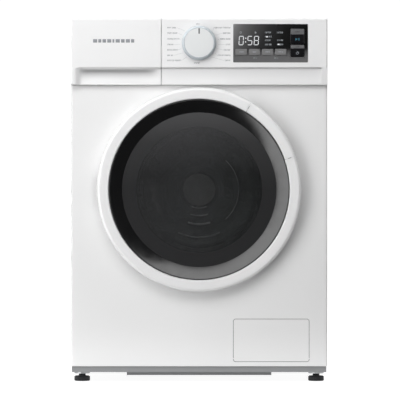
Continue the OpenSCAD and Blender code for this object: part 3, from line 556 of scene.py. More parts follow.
def stack(loops, caps=(True, True), wrap=False):
    """Skins a row of loops that have the same number of points."""
    n, verts, faces = len(loops[0]), [p for loop in loops for p in loop], []
    rows = len(loops)
    for i in range(rows if wrap else rows - 1):
        for k in range(n):
            a, b = i * n, ((i + 1) % rows) * n
            faces.append((a + k, a + (k + 1) % n, b + (k + 1) % n, b + k))
    if caps[0]:
        faces.append(tuple(reversed(range(n))))
    if caps[1]:
        faces.append(tuple((rows - 1) * n + k for k in range(n)))
    return verts, faces


def slab(x, z, s, r, edge=0.8, back_edge=None, steps=3, facing="y"):
    """A plate with round corners and rounded edges.

    Facing y it is drawn in x and z and is thick along s. Facing z it is drawn in x and s.
    """
    back_edge = edge if back_edge is None else back_edge
    loops = []

    def loop(inset, depth):
        rr = max(r - inset, 0.02)
        pts = rounded((x[0] + inset, x[1] - inset), (z[0] + inset, z[1] - inset), rr)
        loops.append([at(px, depth, pz) if facing == "y" else at(px, pz, depth) for px, pz in pts])

    for k in range(steps + 1):
        a = math.pi / 2 * k / steps
        loop(edge * (1 - math.sin(a)), s[0] + edge * (1 - math.cos(a)))
    for k in range(steps + 1):
        a = math.pi / 2 * k / steps
        loop(back_edge * (1 - math.cos(a)), s[1] - back_edge * (1 - math.sin(a)))
    return stack(loops)


def sweep(points, radius, sides=10, closed=False):
    """A round wire along points."""
    pts = [Vector(p) for p in points]
    verts, faces, n = [], [], len(pts)
    side = None
    for i, p in enumerate(pts):
        a = pts[i - 1] if i or closed else p
        b = pts[(i + 1) % n] if i < n - 1 or closed else p
        t = (b - a).normalized()
        if side is None:
            side = t.orthogonal().normalized()
        side = (side - t * side.dot(t)).normalized()
        up = t.cross(side)
        for k in range(sides):
            w = 2 * math.pi * k / sides
            verts.append(p + (side * math.cos(w) + up * math.sin(w)) * radius * MM)
    for i in range(n if closed else n - 1):
        j = (i + 1) % n
        for k in range(sides):
            l = (k + 1) % sides
            faces.append((i * sides + k, i * sides + l, j * sides + l, j * sides + k))
    if not closed:
        faces += [tuple(reversed(range(sides))), tuple((n - 1) * sides + k for k in range(sides))]
    return verts, faces


def blocks(x, z, height, words, seed, bold=0.42):
    """Meaningless letter-like strokes: rows of small bars that read as print from a distance."""
    rng = random.Random(seed)
    quads, u = [], x
    for letters in words:
        for _ in range(letters):
            w = height * rng.choice((0.42, 0.5, 0.55))
            t = bold * height * 0.42
            quads.append(((u, u + t), (z, z + height)))
            if rng.random() < 0.75:
                k = rng.choice((0, 0.42, 0.8))
                quads.append(((u, u + w), (z + k * height, z + k * height + t)))
            if rng.random() < 0.55:
                quads.append(((u + w - t, u + w), (z + rng.choice((0, 0.4)) * height, z + height)))
            else:
                quads.append(((u, u + w), (z + height - t, z + height)))
            u += w + height * 0.2
        u += height * 0.35
    return quads, u - height * 0.55


def mark(name, shape, color, slot="display_black", body="cabinet"):
    """A thin printed or lit mark."""
    return piece(name, *shape, body, color, (), slot, 50)


def print_bars(quads, face, thick=0.06, r=0.12):
    return join(*[slab(qx, qz, (face - thick, face + thick), r, 0.02, steps=1) for qx, qz in quads])


def strip(points, width, face, thick=0.06):
    """A thin printed line through points (x, z)."""
    parts = []
    for (x0, z0), (x1, z1) in zip(points, points[1:]):
        d = Vector((x1 - x0, z1 - z0)).normalized() * (width / 2)
        nx, nz = -d.y, d.x
        ring = [
            (x0 - d.x * 0.3 + nx, z0 - d.y * 0.3 + nz), (x0 - d.x * 0.3 - nx, z0 - d.y * 0.3 - nz),
            (x1 + d.x * 0.3 - nx, z1 + d.y * 0.3 - nz), (x1 + d.x * 0.3 + nx, z1 + d.y * 0.3 + nz)]
        parts.append(
            stack(
                [
                    [at(px, face + thick, pz) for px, pz in ring],
                    [at(px, face - thick, pz) for px, pz in ring]]))
    return join(*parts)


# ---------------------------------------------------------------- carried-over CAD nodes

CARRIED = {
    "paint": "cabinet_shell front_panel service_flap",
    "galvanised": "rear_panel cross_braces",
    "top": "top_plate",
    "fascia": "control_panel drawer_front",
    "tray": "drawer_tray dispenser_housing",
    "grey": "base_tray",
    "dark": "drain_pump door_lock mains_gland filter_cap",
    "zinc": (
        "hinge_bracket damper_cylinders panel_screws lock_nuts damper_rods suspension_springs "
        "hinge_arm latch_hook"
    ),
    "valve": "inlet_valve",
    "tub": "main_board transit_caps drain_outlet tub_front tub_rear",
    "concrete": "top_counterweight front_counterweight",
    "seal": "door_seal",
    "motor": "motor_housing",
    "steel": "drum_bearings heater motor_rotor",
    "black_rubber": "drive_belt sump_hose",
    "drum": "drum_shell",
    "lifter": "drum_lifters",
    "cast": "drum_spider drum_pulley",
    "door": "door_ring door_handle",
    "trim": "door_trim",
    "window": "door_window",
    "bowl": "door_bowl",
    "liner": "door_liner",
    "knob_face": "programme_knob",
    "key_black": "display_window start_key power_key",
    "key": "option_key_1 option_key_2 option_key_3 option_key_4",
    "foot": "foot_front_left foot_front_right foot_rear_left foot_rear_right",
}
for material, nodes in CARRIED.items():
    for node in nodes.split():
        mesh = NODES[node].data
        mesh.materials.clear()
        mesh.materials.append(M[material])


# ---------------------------------------------------------------- door

FACETS = 256
TRIM_R = span("door_trim")[0][1]
WINDOW_R = span("door_window")[0][1]
PLATE = (0.0, AXIS)

piece(
    "trim_cone",
    *lathe(
        fillet(
            [
                (TRIM_R - 2, -25.5), (TRIM_R, -25), (TRIM_R, -20), (WINDOW_R + 1.3, -5),
                (WINDOW_R - 6.7, -5), (WINDOW_R - 6.7, -7), (WINDOW_R + 0.3, -7), (WINDOW_R + 0.3, -10)],
            [0.5, 0.4, 1, 1, 0.3, 0.3, 0.2, 0.4], 4),
        PLATE, n=FACETS),
    "door", "trim", ["door_trim"], "trim_black", 25)

rise = 4.5
dome = (WINDOW_R ** 2 + rise ** 2) / (2 * rise)
face = [
    (WINDOW_R * k / 40, -14.5 + dome - math.sqrt(dome ** 2 - (WINDOW_R * k / 40) ** 2))
    for k in range(40, -1, -1)]
piece(
    "window_pane",
    *lathe(
        [(0.01, -9.6), (WINDOW_R - 0.4, -7), (WINDOW_R, -7.4)] + [(max(r, 0.01), h) for r, h in face],
        PLATE, n=FACETS),
    "door", "window", ["door_window"], "smoked_glass", 25)

bowl = [
    (165, 2), (165, 7.5), (148, 7.5), (146, 9), (134, 70), (128, 84), (118, 93), (104, 96), (60, 96),
    (38, 93), (0.01, 92.5), (0.01, 87.5), (38, 88), (60, 91), (102, 91), (114, 88), (123, 81), (129, 69),
    (141, 9), (141, 2)]
piece(
    "bowl_glass",
    *lathe(
        fillet(bowl, [0.8, 0.8, 1, 3, 20, 12, 12, 12, 12, 10, 0, 0, 10, 12, 12, 12, 12, 20, 3, 1], 5),
        PLATE, n=160),
    "door", "bowl", ["door_bowl"], "bowl_glass", 40)
HUB = (38.5, 88.2)
piece(
    "bowl_hub_disc",
    *lathe(
        fillet(
            [(0.01, HUB[1] - 3), (HUB[0] - 1.5, HUB[1] - 3), (HUB[0], HUB[1] - 0.4), (0.01, HUB[1] - 0.4)],
            [0, 1.2, 0.5, 0], 4),
        PLATE, n=96),
    "door", "hub", (), "bowl_glass", 40)
# Short light-coloured arcs at the bottom of the bowl and one at its right: real ridges, but placed and
# coloured as painted highlights of the bowl's ripples
for k, (r, depth, half, wire) in enumerate(
    ((43, 86.0, 24, 1.3), (61, 88.2, 20, 1.6), (81, 87.8, 19, 2.4), (112, 86.0, 26, 1.8))):
    pts = [
        at(r * math.sin(u), depth, AXIS - r * math.cos(u))
        for u in (math.radians(half * (i / 16 - 1)) for i in range(33))]
    piece(f"bowl_rib_highlight_{k + 1}", *sweep(pts, wire, 8), "door", "rib", (), "bowl_glass", 60)
pts = [
    at(93 * math.cos(u), 89.2, AXIS + 93 * math.sin(u))
    for u in (math.radians(-48 + 96 * i / 40) for i in range(41))]
piece("bowl_rib_highlight_side", *sweep(pts, 0.9, 8), "door", "rib", (), "bowl_glass", 60)
for k, (r, depth) in enumerate(((139.5, 12), (130.5, 62))):
    piece(
        f"bowl_moulding_{k + 1}",
        *lathe(
            fillet([(r, depth), (r - 1.2, depth + 1.5), (r, depth + 3), (r + 0.6, depth + 1.5)], 0.4, 3),
            PLATE, n=128),
        "door", "bowl", (), "bowl_glass", 60)

# ---------------------------------------------------------------- door seal

seal = [
    (151, 14), (153.4, 11.3), (158, 11.9), (163.6, 12.6), (164.8, 15.4), (158.6, 15.8), (158.6, 26.8),
    (164.8, 27.4), (165.8, 32.6), (158.4, 40), (158.4, 44.6), (170, 50), (177.6, 56), (177.6, 69.8),
    (172.6, 69.8), (172.6, 59.8), (166, 55), (154.4, 48), (154.4, 37.4), (161.6, 31), (155.2, 28.6),
    (152.4, 20)]
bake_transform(piece(
            "bellows_seal",
            *lathe(
                fillet(seal, [1.2, 1, 1, 1, 1, 1, 1, 2, 4, 3, 3, 3, 2, 1, 1, 2, 3, 4, 4, 3, 3, 3], 4),
                PLATE, n=192),
            None, "seal", ["door_seal"]))
for k, a in enumerate((262, 270, 278)):
    c, s = math.cos(math.radians(a)), math.sin(math.radians(a))
    hole = [
        at(
            155.2 * c + 2.2 * math.cos(t) * -s, 22 + 2.2 * math.sin(t),
            AXIS + 155.2 * s + 2.2 * math.cos(t) * c)
        for t in (2 * math.pi * i / 16 for i in range(16))]
    piece(f"seal_drain_rim_{k + 1}", *sweep(hole, 0.5, 6, True), "cabinet", "seal", (), "seal_rubber", 60)

# ---------------------------------------------------------------- drum

DRUM = span("drum_shell")
DR, D0, D1 = DRUM[0][1], DRUM[1][0], DRUM[1][1]


def perforated(radius, s0, s1, around, rows, hole, wall):
    """A drum's wall with staggered round holes cut right through it."""
    verts, faces = [], []
    turn = 2 * math.pi / around
    pitch = (s1 - s0) / rows

    def put(u, s, r):
        verts.append(at(r * math.cos(u), s, AXIS + r * math.sin(u)))
        return len(verts) - 1

    corners = [(-0.5, -0.5), (0, -0.5), (0.5, -0.5), (0.5, 0), (0.5, 0.5), (0, 0.5), (-0.5, 0.5), (-0.5, 0)]
    for row in range(rows):
        for col in range(around):
            u0 = (col + 0.5 * (row % 2)) * turn
            s = s0 + (row + 0.5) * pitch
            rings = []
            for r in (radius, radius - wall):
                rings.append([put(u0 + cx * turn, s + cz * pitch, r) for cx, cz in corners])
                rings.append(
                    [
                        put(
                            u0 + math.cos(math.atan2(cz, cx)) * hole / radius,
                            s + math.sin(math.atan2(cz, cx)) * hole, r) for cx,
                        cz in corners])
            for k in range(8):
                j = (k + 1) % 8
                faces.append((rings[0][k], rings[0][j], rings[1][j], rings[1][k]))
                faces.append((rings[1][k], rings[1][j], rings[3][j], rings[3][k]))
                faces.append((rings[3][k], rings[3][j], rings[2][j], rings[2][k]))
    return verts, faces


piece(
    "drum_perforated_wall", *perforated(DR - 0.2, D0 + 16, D1 - 10, 72, 15, 2.6, 1.1), "drum", "drum",
    ["drum_shell"], "drum_steel", 30)
rolled = [
    (150, D0 + 3.9), (150, D0 + 0.4), (152, D0), (DR - 13, D0), (DR - 3, D0 + 4), (DR, D0 + 12),
    (DR, D0 + 17), (DR - 1.4, D0 + 17), (DR - 1.5, D0 + 12.5), (DR - 13.5, D0 + 1.5), (152.5, D0 + 1.5),
    (151.5, D0 + 3.9)]
piece(
    "drum_front_rim",
    *lathe(fillet(rolled, [0.5, 1, 1.5, 6, 8, 4, 0.3, 0.3, 5, 5, 0.8, 0.3], 4), PLATE, n=192), "drum",
    "drum", (), "drum_steel", 30)
back = [
    (DR, D1 - 11), (DR, D1 - 8), (DR - 6, D1), (172, D1), (160, D1 - 6), (96, D1 - 6), (84, D1 - 0.4),
    (60, D1 - 0.4), (46, D1 - 6), (0.01, D1 - 6), (0.01, D1 - 7.4), (47, D1 - 7.4), (61, D1 - 1.8),
    (83, D1 - 1.8), (95, D1 - 7.4), (161, D1 - 7.4), (173, D1 - 1.5), (DR - 7, D1 - 1.5),
    (DR - 1.4, D1 - 8.5), (DR - 1.4, D1 - 11)]
piece(
    "drum_back_plate",
    *lathe(fillet(back, [0, 3, 3, 4, 4, 4, 4, 4, 4, 0, 0, 4, 4, 4, 4, 4, 4, 3, 2, 0], 4), PLATE, n=192),
    "drum", "drum", (), "drum_steel", 30)

for k in range(3):
    a = math.radians(90 + 120 * k)
    radial, side = Vector((math.cos(a), 0, math.sin(a))), Vector((-math.sin(a), 0, math.cos(a)))
    rows = []
    for height, half, trim in (
        (4.2, 23.4, 26), (8, 21.4, 28), (20, 15.5, 35), (32, 11.6, 40), (39, 9.8, 43), (43, 7.6, 46),
        (44.6, 4.6, 50), (45.2, 2.2, 54)):
        ring = []
        for v, w in rounded((D0 + trim, D1 - 25 - (trim - 26) * 0.8), (-half, half), min(half * 0.7, 9), 5):
            ring.append(at(0, v, AXIS) + (radial * (DR - height) + side * w) * MM)
        rows.append(ring)
    piece(
        f"paddle_{k + 1}", *stack(rows), "drum", "lifter", ["drum_lifters"] if k == 0 else (),
        "lifter_plastic", 40)
    for j in range(5):
        v = D0 + 70 + 42 * j
        ring = [
            at(0, v + 3.4 * math.cos(t), AXIS) + (radial * (DR - 45.3) + side * 1.5 * math.sin(t)) * MM
            for t in (2 * math.pi * i / 20 for i in range(20))]
        piece(
            f"paddle_{k + 1}_drain_{j + 1}", *sweep(ring, 0.45, 6, True), "drum", "lifter", (),
            "lifter_plastic", 60)

# ---------------------------------------------------------------- soft and sprung pieces

for k, side in enumerate((-1, 1)):
    x, s = side * 235, 285
    z0, z1 = span("suspension_springs")[2]
    turns, pts = 13, []
    for i in range(turns * 28 + 1):
        t = i / (turns * 28)
        w = 2 * math.pi * turns * t
        pts.append(at(x + 11 * math.cos(w), s + 11 * math.sin(w), z0 + 2 + (z1 - z0 - 4) * t))
    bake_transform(piece(
                f"coil_spring_{k + 1}", *sweep(pts, 1.9, 10), None, "steel",
                ["suspension_springs"] if k == 0 else (), None, 60))

hx, hs, hz = span("sump_hose")
cx, cs = sum(hx) / 2, sum(hs) / 2
outer = [(23.2, hz[1]), (23.2, hz[1] - 13)]
for k in range(18):
    t = hz[1] - 14 - (hz[1] - hz[0] - 28) * (k + 0.5) / 18
    d = (hz[1] - hz[0] - 28) / 72
    outer += [(23.4, t + d * 1.6), (26.7, t + d * 0.6), (26.7, t - d * 0.6), (23.4, t - d * 1.6)]
outer += [(23.2, hz[0] + 13), (23.2, hz[0])]
hose = outer + [(20.6, hz[0]), (20.6, hz[1])]
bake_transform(piece(
            "corrugated_sump_hose", *lathe(hose, (cx, cs), n=64, axis="z"), None, "black_rubber",
            ["sump_hose"], None, 50))

# ---------------------------------------------------------------- programme knob

knob = span("programme_knob")
KR, KNOB_BASE = knob[0][1], knob[1][0]
KNOB_AT = (0.0, KNOB_Z)
side_profile = [
    (0.01, KNOB_BASE + 1.6), (KR - 6, KNOB_BASE + 1.6), (KR - 5.4, KNOB_BASE + 0.25),
    (KR - 4.4, KNOB_BASE + 0.9), (KR - 1.2, KNOB_BASE + 12.4), (KR, KNOB_BASE + 13.6),
    (KR, KNOB_BASE + 15.2), (KR - 4, KNOB_BASE + 15.2), (KR - 7, KNOB_BASE + 4), (0.01, KNOB_BASE + 4)]
piece(
    "knob_collar",
    *lathe(fillet(side_profile, [0, 0.2, 0.5, 1.2, 2, 0.6, 0.2, 0.5, 1, 0], 5), KNOB_AT, n=192), "knob",
    "knob_side", ["programme_knob"], "fascia_white", 35)
face = [
    (0.01, KNOB_BASE + 0.1), (20, KNOB_BASE + 0.12), (KR - 6.6, KNOB_BASE + 0.3),
    (KR - 6.1, KNOB_BASE + 0.9), (KR - 6.1, KNOB_BASE + 1.8), (0.01, KNOB_BASE + 1.8)]
piece(
    "knob_face", *lathe(fillet(face, [0, 2, 0.4, 0.3, 0.1, 0], 4), KNOB_AT, n=192), "knob", "knob_face",
    (), "fascia_white", 35)
mark(
    "knob_pointer",
    slab((-1.4, 1.4), (KNOB_Z + 20.5, KNOB_Z + 33.3), (KNOB_BASE + 0.02, KNOB_BASE + 0.8), 0.8, 0.1),
    "ink_dark", "display_black", "knob")
piece(
    "knob_stem",
    *lathe(
        [
            (9, KNOB_BASE + 3.9), (9, KNOB_BASE + 16), (3.2, KNOB_BASE + 16.4), (3.2, KNOB_BASE + 39.5),
            (0.01, KNOB_BASE + 39.8), (0.01, KNOB_BASE + 3.9)],
        KNOB_AT, n=48),
    "knob", "knob_face", (), "fascia_white", 35)

# ---------------------------------------------------------------- prints on the control panel

FACE = span("control_panel")[1][0]
PRINT = FACE - 0.02
ROWS = (820.8, 808.3, 794.8, 781.9, 769.3, 756.8, 745.0)
WIDTHS_L = (20, 23, 28, 14, 25, 13, 31)
WIDTHS_R = (38, 17, 23, 10, 15, 29, 12.5)


def word(x, z, width, seed, height=3.2):
    """Print of about the given width, starting at x and centred on z."""
    letters = max(2, round(width / (height * 0.68)))
    groups = (letters,) if letters < 6 else (letters // 2, letters - letters // 2 - 1)
    quads, end = blocks(0, z - height / 2, height, groups, seed)
    k = width / end
    return [((x + p * k, x + q * k), qz) for (p, q), qz in quads]


for k, z in enumerate(ROWS):
    up = (z - KNOB_Z) * 0.8
    reach = math.sqrt(max(42.5 ** 2 - up ** 2, 30))
    mark(
        f"programme_print_l{k + 1}", print_bars(word(-73.4, z, WIDTHS_L[k], 10 + k), PRINT), "ink_grey",
        "key_grey")
    mark(
        f"programme_lead_l{k + 1}",
        strip([(-73.4 + WIDTHS_L[k] + 1.6, z), (-reach - 1, KNOB_Z + up)], 0.4, PRINT), "ink_soft",
        "key_grey")
    mark(
        f"programme_print_r{k + 1}", print_bars(word(72.3 - WIDTHS_R[k], z, WIDTHS_R[k], 30 + k), PRINT),
        "ink_grey", "key_grey")
    mark(
        f"programme_lead_r{k + 1}",
        strip([(reach + 1, KNOB_Z + up), (72.3 - WIDTHS_R[k] - 1.6, z)], 0.4, PRINT), "ink_soft",
        "key_grey")
quads, end = blocks(-6.5, 828.0, 2.8, (4,), 60)
mark("programme_print_top", print_bars(quads, PRINT), "ink_grey", "key_grey")
quads, end = blocks(-11.6, 737.6, 3.2, (6,), 61)
mark("programme_print_bottom", print_bars(quads, PRINT), "ink_grey", "key_grey")

drawer = span("drawer_front")
LIP, BAND, FOOT = 728.0, FACE + 6.0, drawer[2][0]
SCOOP = (-290.0, -101.0)


def ease(t):
    t = min(max(t, 0.0), 1.0)
    return t * t * (3 - 2 * t)


def drawer_section(x):
    """Outline of the drawer front at x, as (s, z): plain above the lip, scooped out softly below it."""
    step = ease((x - drawer[0][0] - 8) / 18)
    scoop = ease((x - SCOOP[0]) / 34) * ease((SCOOP[1] + 18 - x) / 50)
    back, top = -0.6, drawer[2][1]
    left, right = (x - drawer[0][0]) / 3.0, (drawer[0][1] - x) / 0.6
    inset = 2.6 * (1 - min(left, 1)) ** 2 + 0.5 * (1 - min(right, 1)) ** 2
    face = FACE + inset
    pts = [(back, FOOT + 0.3), (back, top - 0.4), (FACE + 6, top)]
    pts += [
        (face + 6 - 6 * math.sin(a), top - 6 + 6 * math.cos(a))
        for a in (math.radians(9 * k) for k in range(1, 11))]
    pts.append((face, LIP + 12))
    nose = 2.4 * step
    pts += [
        (face + nose * (1 - math.cos(a)), LIP + nose * (1 - math.sin(a)))
        for a in (math.radians(15 * k) for k in range(7))]
    band = face + (BAND - FACE) * step
    for k in range(25):
        t = k / 24
        deep = BAND + 6
        if t < 0.3:
            hollow = face + nose + (deep - face - nose) * math.sin(math.pi / 2 * t / 0.3)
        else:
            hollow = deep - 1.6 * ease((t - 0.3) / 0.7)
        pts.append((band + (hollow - band) * scoop, LIP - t * (LIP - FOOT - 0.6)))
    pts.append((band + 0.8, FOOT))
    return pts


xs = [
    drawer[0][0] + t
    for t in (0, 0.15, 0.4, 0.8, 1.3, 1.9, 2.5, 3.0, 7, 9, 11, 13, 15, 17, 19, 21, 23, 24)]
xs += [drawer[0][0] + 24 + (drawer[0][1] - drawer[0][0] - 25) * k / 60 for k in range(1, 61)]
xs += [drawer[0][1] - t for t in (0.6, 0.35, 0.15, 0)]
piece(
    "drawer_fascia", *stack([[at(x, s_, z_) for s_, z_ in drawer_section(x)] for x in xs]), "drawer",
    "fascia", ["drawer_front"], "fascia_white", 50)
bars, u = [], -245.5
for w in (9.5, 7, 8.5, 9.5, 4.5, 10, 8.5, 9.5, 7.5):
    bars.append(((u, u + w), (786.4, 794.4)))
    u += w + 2.6
mark("drawer_mark", print_bars(bars, drawer[1][0] - 0.02, r=0.3), "ink_grey", "key_grey", "drawer")

# ---------------------------------------------------------------- display

dx, ds, dz = span("display_window")
M["display"] = display_glass(dx, dz)
NODES["display_window"].data.materials.clear()
NODES["display_window"].data.materials.append(M["display"])
outline = [
    at(px, ds[0] + 0.25, pz) for px,
    pz in rounded((dx[0] + 0.35, dx[1] - 0.35), (dz[0] + 0.35, dz[1] - 0.35), 1.8, 6)]
piece("display_edge", *sweep(outline, 0.34, 8, True), "cabinet", "key", (), "key_grey", 60)
GLASS = ds[0] - 0.03


def skin():
    """Depths of a thin mark on the glass or key face in hand."""
    return (GLASS - 0.05, GLASS + 0.05)


def digit(x, z, w, h, lit, t=1.6):
    """A seven-segment figure with pointed segments."""
    g, quads = 0.35, []
    ends = {
        "a": ((0, h), (w, h)), "g": ((0, h / 2), (w, h / 2)), "d": ((0, 0), (w, 0)),
        "f": ((0, h / 2), (0, h)), "b": ((w, h / 2), (w, h)), "e": ((0, 0), (0, h / 2)),
        "c": ((w, 0), (w, h / 2))}
    for name in lit:
        (x0, z0), (x1, z1) = ends[name]
        d = Vector((x1 - x0, z1 - z0)).normalized()
        nrm = Vector((-d.y, d.x)) * t / 2
        a, b = Vector((x0, z0)) + d * g, Vector((x1, z1)) - d * g
        ring = [a, a + d * t / 2 - nrm, b - d * t / 2 - nrm, b, b - d * t / 2 + nrm, a + d * t / 2 + nrm]
        lean = 0.06
        quads.append(stack([[at(x + p.x + (p.y) * lean, depth, z + p.y) for p in ring] for depth in skin()]))
    return join(*quads)


SEGMENTS = {"0": "abcdef", "5": "afgcd", "8": "abcdefg"}
DIGIT_W, DIGIT_H = 9.6, 19.8
for name, glyph, x in (("hour", "0", 92.2), ("ten", "5", 112.2), ("unit", "8", 127.2)):
    mark(f"digit_{name}", digit(x, 781.2, DIGIT_W, DIGIT_H, SEGMENTS[glyph]), "lit")
for k, z in enumerate((786.6, 795.2)):
    mark(
        f"digit_colon_{k + 1}", slab((106.4 + 0.5 * k, 108.8 + 0.5 * k), (z, z + 2.6), skin(), 0.7, 0.02),
        "lit")


def ring_icon(x, z, r, wire, gap=0):
    pts = []
    for k in range(25):
        a = math.radians(90 + gap + (360 - 2 * gap) * k / 24)
        pts.append((x + r * math.cos(a), z + r * math.sin(a)))
    return strip(pts, wire, GLASS, 0.05)


mark("icon_clock", ring_icon(96.4, 809.7, 1.9, 0.8), "lit_dim")
piece(
    "icon_lock",
    *join(slab((129.0, 132.4), (807.6, 810.4), skin(), 0.4, 0.02), ring_icon(130.7, 810.6, 1.2, 0.6)),
    "cabinet", "lit_dim", (), "display_black", 50)
for name, x0, x1, rows in (
    ("a", 152.8, 170.4, ((809.7, 0), (800.2, 1), (791.6, 0), (781.9, 0))),
    ("b", 180.6, 196.1, ((809.7, 0), (791.6, 0), (781.9, 1)))):
    for k, (z, on) in enumerate(rows):
        quads, end = blocks(
            x0, z - 1.7, 3.4, (3, 3) if k % 2 else (6,), 80 + k + (10 if name == "b" else 0), 0.5)
        quads = [q for q in quads if q[0][1] < x1 + 1]
        mark(f"indicator_{name}{k + 1}", print_bars(quads, GLASS, 0.05), "lit_dim")
for k, (x, z) in enumerate(((157.4, 799.7), (184.0, 782.3))):
    mark(
        f"indicator_lamp_{k + 1}",
        slab((x - 2.2, x + 2.2), (z - 1.3, z + 1.3), (GLASS - 0.08, GLASS + 0.05), 0.8, 0.02), "lit")
for k, x in enumerate((127.3, 175.9)):
    mark(
        f"icon_hold_{k + 1}",
        join(ring_icon(x, 750.6, 1.6, 0.5), strip([(x + 2.6, 750.6), (x + 7, 750.6)], 0.7, GLASS, 0.05)),
        "lit_dim")

# ---------------------------------------------------------------- keys

for k in range(4):
    name = f"option_key_{k + 1}"
    x, s, z = span(name)
    x, z = (x[0] + 1.2, x[1] - 1.2), (z[0] + 0.7, z[1] - 0.7)
    piece(f"{name}_cap", *slab(x, z, (s[0], s[1]), 2.2, 1.0, 0.2, 5), name, "key", [name], "key_grey", 40)
    quads, end = blocks(0, 0, 3.0, ((5,), (4,), (5,), (3, 2))[k], 110 + k, 0.5)
    mid = (x[0] + x[1]) / 2 - end / 2
    quads = [
        ((a + mid, b + mid), (c + (z[0] + z[1]) / 2 - 1.2, d + (z[0] + z[1]) / 2 - 1.2)) for (a, b),
        (c, d) in quads]
    mark(f"{name}_mark", print_bars(quads, s[0] + 0.02, 0.04), "lit_dim", "key_grey", name)

for name, split in (("start_key", 13.5), ("power_key", 8.6)):
    x, s, z = span(name)
    x, z = (x[0] + 1.2, x[1] - 1.2), (z[0] + 0.7, z[1] - 0.7)
    piece(
        f"{name}_cap", *slab(x, z, (s[0] + 0.25, s[1]), 2.2, 1.0, 0.2, 5), name, "key_black", [name],
        "display_black", 40)
    piece(
        f"{name}_band",
        *slab((x[0] + 0.5, x[1] - 0.5), (z[1] - split, z[1] - 0.5), (s[0], s[0] + 1.2), 1.6, 0.5, 0.1, 4),
        name, "band", (), "key_grey", 40)
    quads, end = blocks(0, 0, 3.2, (5,) if name == "start_key" else (4,), 130 + len(name), 0.5)
    mid = (x[0] + x[1]) / 2 - end / 2
    zc = z[1] - split / 2 - 0.5
    quads = [((a + mid, b + mid), (c + zc - 1.5, d + zc - 1.5)) for (a, b), (c, d) in quads]
    mark(f"{name}_print", print_bars(quads, s[0] + 0.02, 0.04), "ink_dark", "display_black", name)
    GLASS = s[0] + 0.24
    xm, zm = (x[0] + x[1]) / 2, (z[0] + z[1] - split) / 2 - 0.2
    if name == "start_key":
        tri = [(xm - 4.6, zm - 3.2), (xm + 0.3, zm), (xm - 4.6, zm + 3.2)]
        shape = join(
            stack([[at(px, d, pz) for px, pz in tri] for d in skin()]),
            slab((xm + 1.6, xm + 2.6), (zm - 3.1, zm + 3.1), skin(), 0.4, 0.02),
            slab((xm + 3.8, xm + 4.8), (zm - 3.1, zm + 3.1), skin(), 0.4, 0.02))
        mark("start_key_icon", shape, "lit_teal", "display_black", name)
    else:
        shape = join(
            ring_icon(xm, zm - 0.4, 2.9, 0.9, 32),
            slab((xm - 0.45, xm + 0.45), (zm, zm + 3.8), skin(), 0.4, 0.02))
        mark("power_key_icon", shape, "lit_dim", "display_black", name)
GLASS = ds[0] - 0.03

# ---------------------------------------------------------------- feet

for name in ("foot_front_left", "foot_front_right", "foot_rear_left", "foot_rear_right"):
    x, s, z = span(name)
    c = ((x[0] + x[1]) / 2, (s[0] + s[1]) / 2)
    R = (x[1] - x[0]) / 2
    pad = [
        (0.01, 0.0), (R - 2, 0.0), (R, 1.6), (R, 3.2), (R - 0.7, 3.9), (R, 4.6), (R, 6.4), (R - 0.7, 7.1),
        (R, 7.8), (R, 9.8), (R - 2.4, 12), (9.6, 12), (8.2, 12.8), (7.6, 16.8), (5.2, 17), (0.01, 17)]
    piece(
        f"{name}_pad",
        *lathe(
            fillet(pad, [0, 1, 0.8, 0.3, 0.3, 0.3, 0.3, 0.3, 0.3, 1.2, 1, 0.8, 0.5, 0.3, 0.2, 0], 3), c,
            n=72, axis="z"),
        name, "foot", [name], "foot_black", 35)
    thread, zt = [(0.01, 16.9)], 17.0
    while zt < 58.4:
        thread += [(4.4, zt), (5.0, zt + 0.5), (4.4, zt + 1.0)]
        zt += 1.25
    thread += [(4.2, 59.4), (3.4, 60.0), (0.01, 60.0)]
    piece(f"{name}_stud", *lathe(thread, c, n=36, axis="z"), name, "zinc", (), "zinc_steel", 60)

# ---------------------------------------------------------------- worktop

tx, ts, tz = span("top_plate")
piece(
    "worktop_board", *slab(tx, ts, tz, 2.5, 1.6, 1.2, 4, "z"), "cabinet", "top", ["top_plate"], "worktop",
    40)

# ---------------------------------------------------------------- studio

scene = bpy.context.scene
scene.view_settings.view_transform = "Standard"
scene.view_settings.look = "None"


def studio_floor():
    """The pale top of a wide plinth, with a rounded front edge close ahead of the machine."""
    m = Material("studio_paper", Roughness=0.85, Specular_IOR_Level=0.1, Emission_Strength=0.4)
    m.tint(m.noise(1.2, 2), (0.24, 0.24, 0.24), (0.22, 0.22, 0.22))
    m.set("Emission_Color", (1, 1, 1, 1))
    split = m.add("ShaderNodeSeparateXYZ")
    m.link(m.coords, split.inputs[0])
    far = m.add("ShaderNodeMapRange")
    for key, value in zip(("From Min", "From Max", "To Min", "To Max"), (0.5, 3.0, 0.9, 0.96)):
        far.inputs[key].default_value = value
    m.link(split.outputs["Y"], far.inputs["Value"])
    m.link(far.outputs["Result"], m.shader.inputs["Emission Strength"])
    m.bump(m.noise(120, 2), 0.0002, 0.2)
    profile = [(-0.36, -0.6), (-0.36, -0.02)]
    profile += [
        (-0.34 - 0.02 * math.cos(a), -0.02 + 0.02 * math.sin(a))
        for a in (math.radians(15 * k) for k in range(1, 7))]
    profile += [(1.2, 0.0), (4.0, 0.0), (16.0, 0.0)]
    verts, faces = [], []
    for y, z in profile:
        verts += [(x, y, z) for x in (-14.0, -4.0, 4.0, 14.0)]
    for i in range(len(profile) - 1):
        faces += [(4 * i + k, 4 * i + k + 1, 4 * i + k + 5, 4 * i + k + 4) for k in range(3)]
    return piece("studio_paper", verts, faces, None, m.mat, sharp=60)


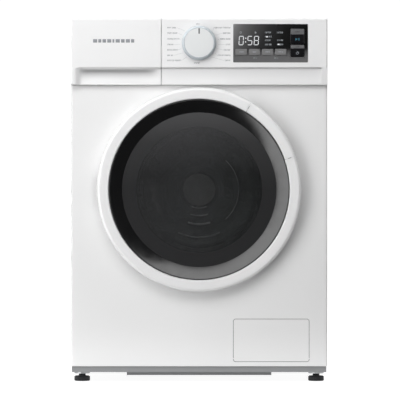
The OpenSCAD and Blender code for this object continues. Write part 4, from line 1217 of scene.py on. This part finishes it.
def softbox(name, place, target, size, power, color=(1, 1, 1)):
    light = bpy.data.lights.new(name, "AREA")
    light.shape = "RECTANGLE"
    light.size, light.size_y = size
    light.energy = power
    light.color = color
    obj = bpy.data.objects.new(name, light)
    obj.location = place
    obj.rotation_euler = (Vector(target) - Vector(place)).to_track_quat("-Z", "Y").to_euler()
    scene.collection.objects.link(obj)
    return obj


def panel(name, x, z, ahead, radiance):
    """A soft panel square to the view, between two x values and two z values in metres."""
    y = FRONT - ahead
    cx, cz = sum(x) / 2, sum(z) / 2
    size = (x[1] - x[0], z[1] - z[0])
    return softbox(name, (cx, y, cz), (cx, y + 1, cz), size, radiance * math.pi * size[0] * size[1])


world = bpy.data.worlds.new("studio_air")
world.use_nodes = True
tree = world.node_tree
direction = tree.nodes.new("ShaderNodeSeparateXYZ")
tree.links.new(tree.nodes.new("ShaderNodeTexCoord").outputs["Generated"], direction.inputs[0])
half = tree.nodes.new("ShaderNodeMapRange")
half.inputs["From Min"].default_value = -1.0
tree.links.new(direction.outputs["Y"], half.inputs["Value"])
# White straight behind the machine, pale beside it, dark where its front looks
haze = tree.nodes.new("ShaderNodeValToRGB")
while len(haze.color_ramp.elements) < 5:
    haze.color_ramp.elements.new(0.5)
for element, (place, level) in zip(
    haze.color_ramp.elements, ((0.0, 0.05), (0.43, 0.05), (0.5, 0.42), (0.95, 0.42), (0.99, 1.05))):
    element.position = place
    element.color = (level, level, level, 1)
tree.links.new(half.outputs["Result"], haze.inputs["Fac"])
tree.links.new(haze.outputs["Color"], tree.nodes["Background"].inputs["Color"])
tree.nodes["Background"].inputs["Strength"].default_value = 1.0
scene.world = world

camera = bpy.data.cameras.new("camera")
camera.sensor_width = 36
camera.lens = 36 * 7.0 / 0.927
camera.clip_end = 60
eye = bpy.data.objects.new("camera", camera)
eye.location = (0.0021, (FRONT - 12 * MM) - 7.0, 0.4219)
eye.rotation_euler = (math.radians(90), 0, 0)
scene.collection.objects.link(eye)
scene.camera = eye

studio_floor()
panel("key_left", (-4.2, -1.3), (-1.8, 4.6), 2.25, 3.0)
panel("key_top", (-1.3, 1.6), (1.65, 4.6), 2.25, 3.0)
softbox("fill_low_right", (2.4, -6.0, 0.9), (0, -0.2, 0.45), (1.6, 1.6), 22)
softbox("top_wash", (0, 0.9, 3.1), (0, 0.9, 0), (4.5, 2.2), 60)
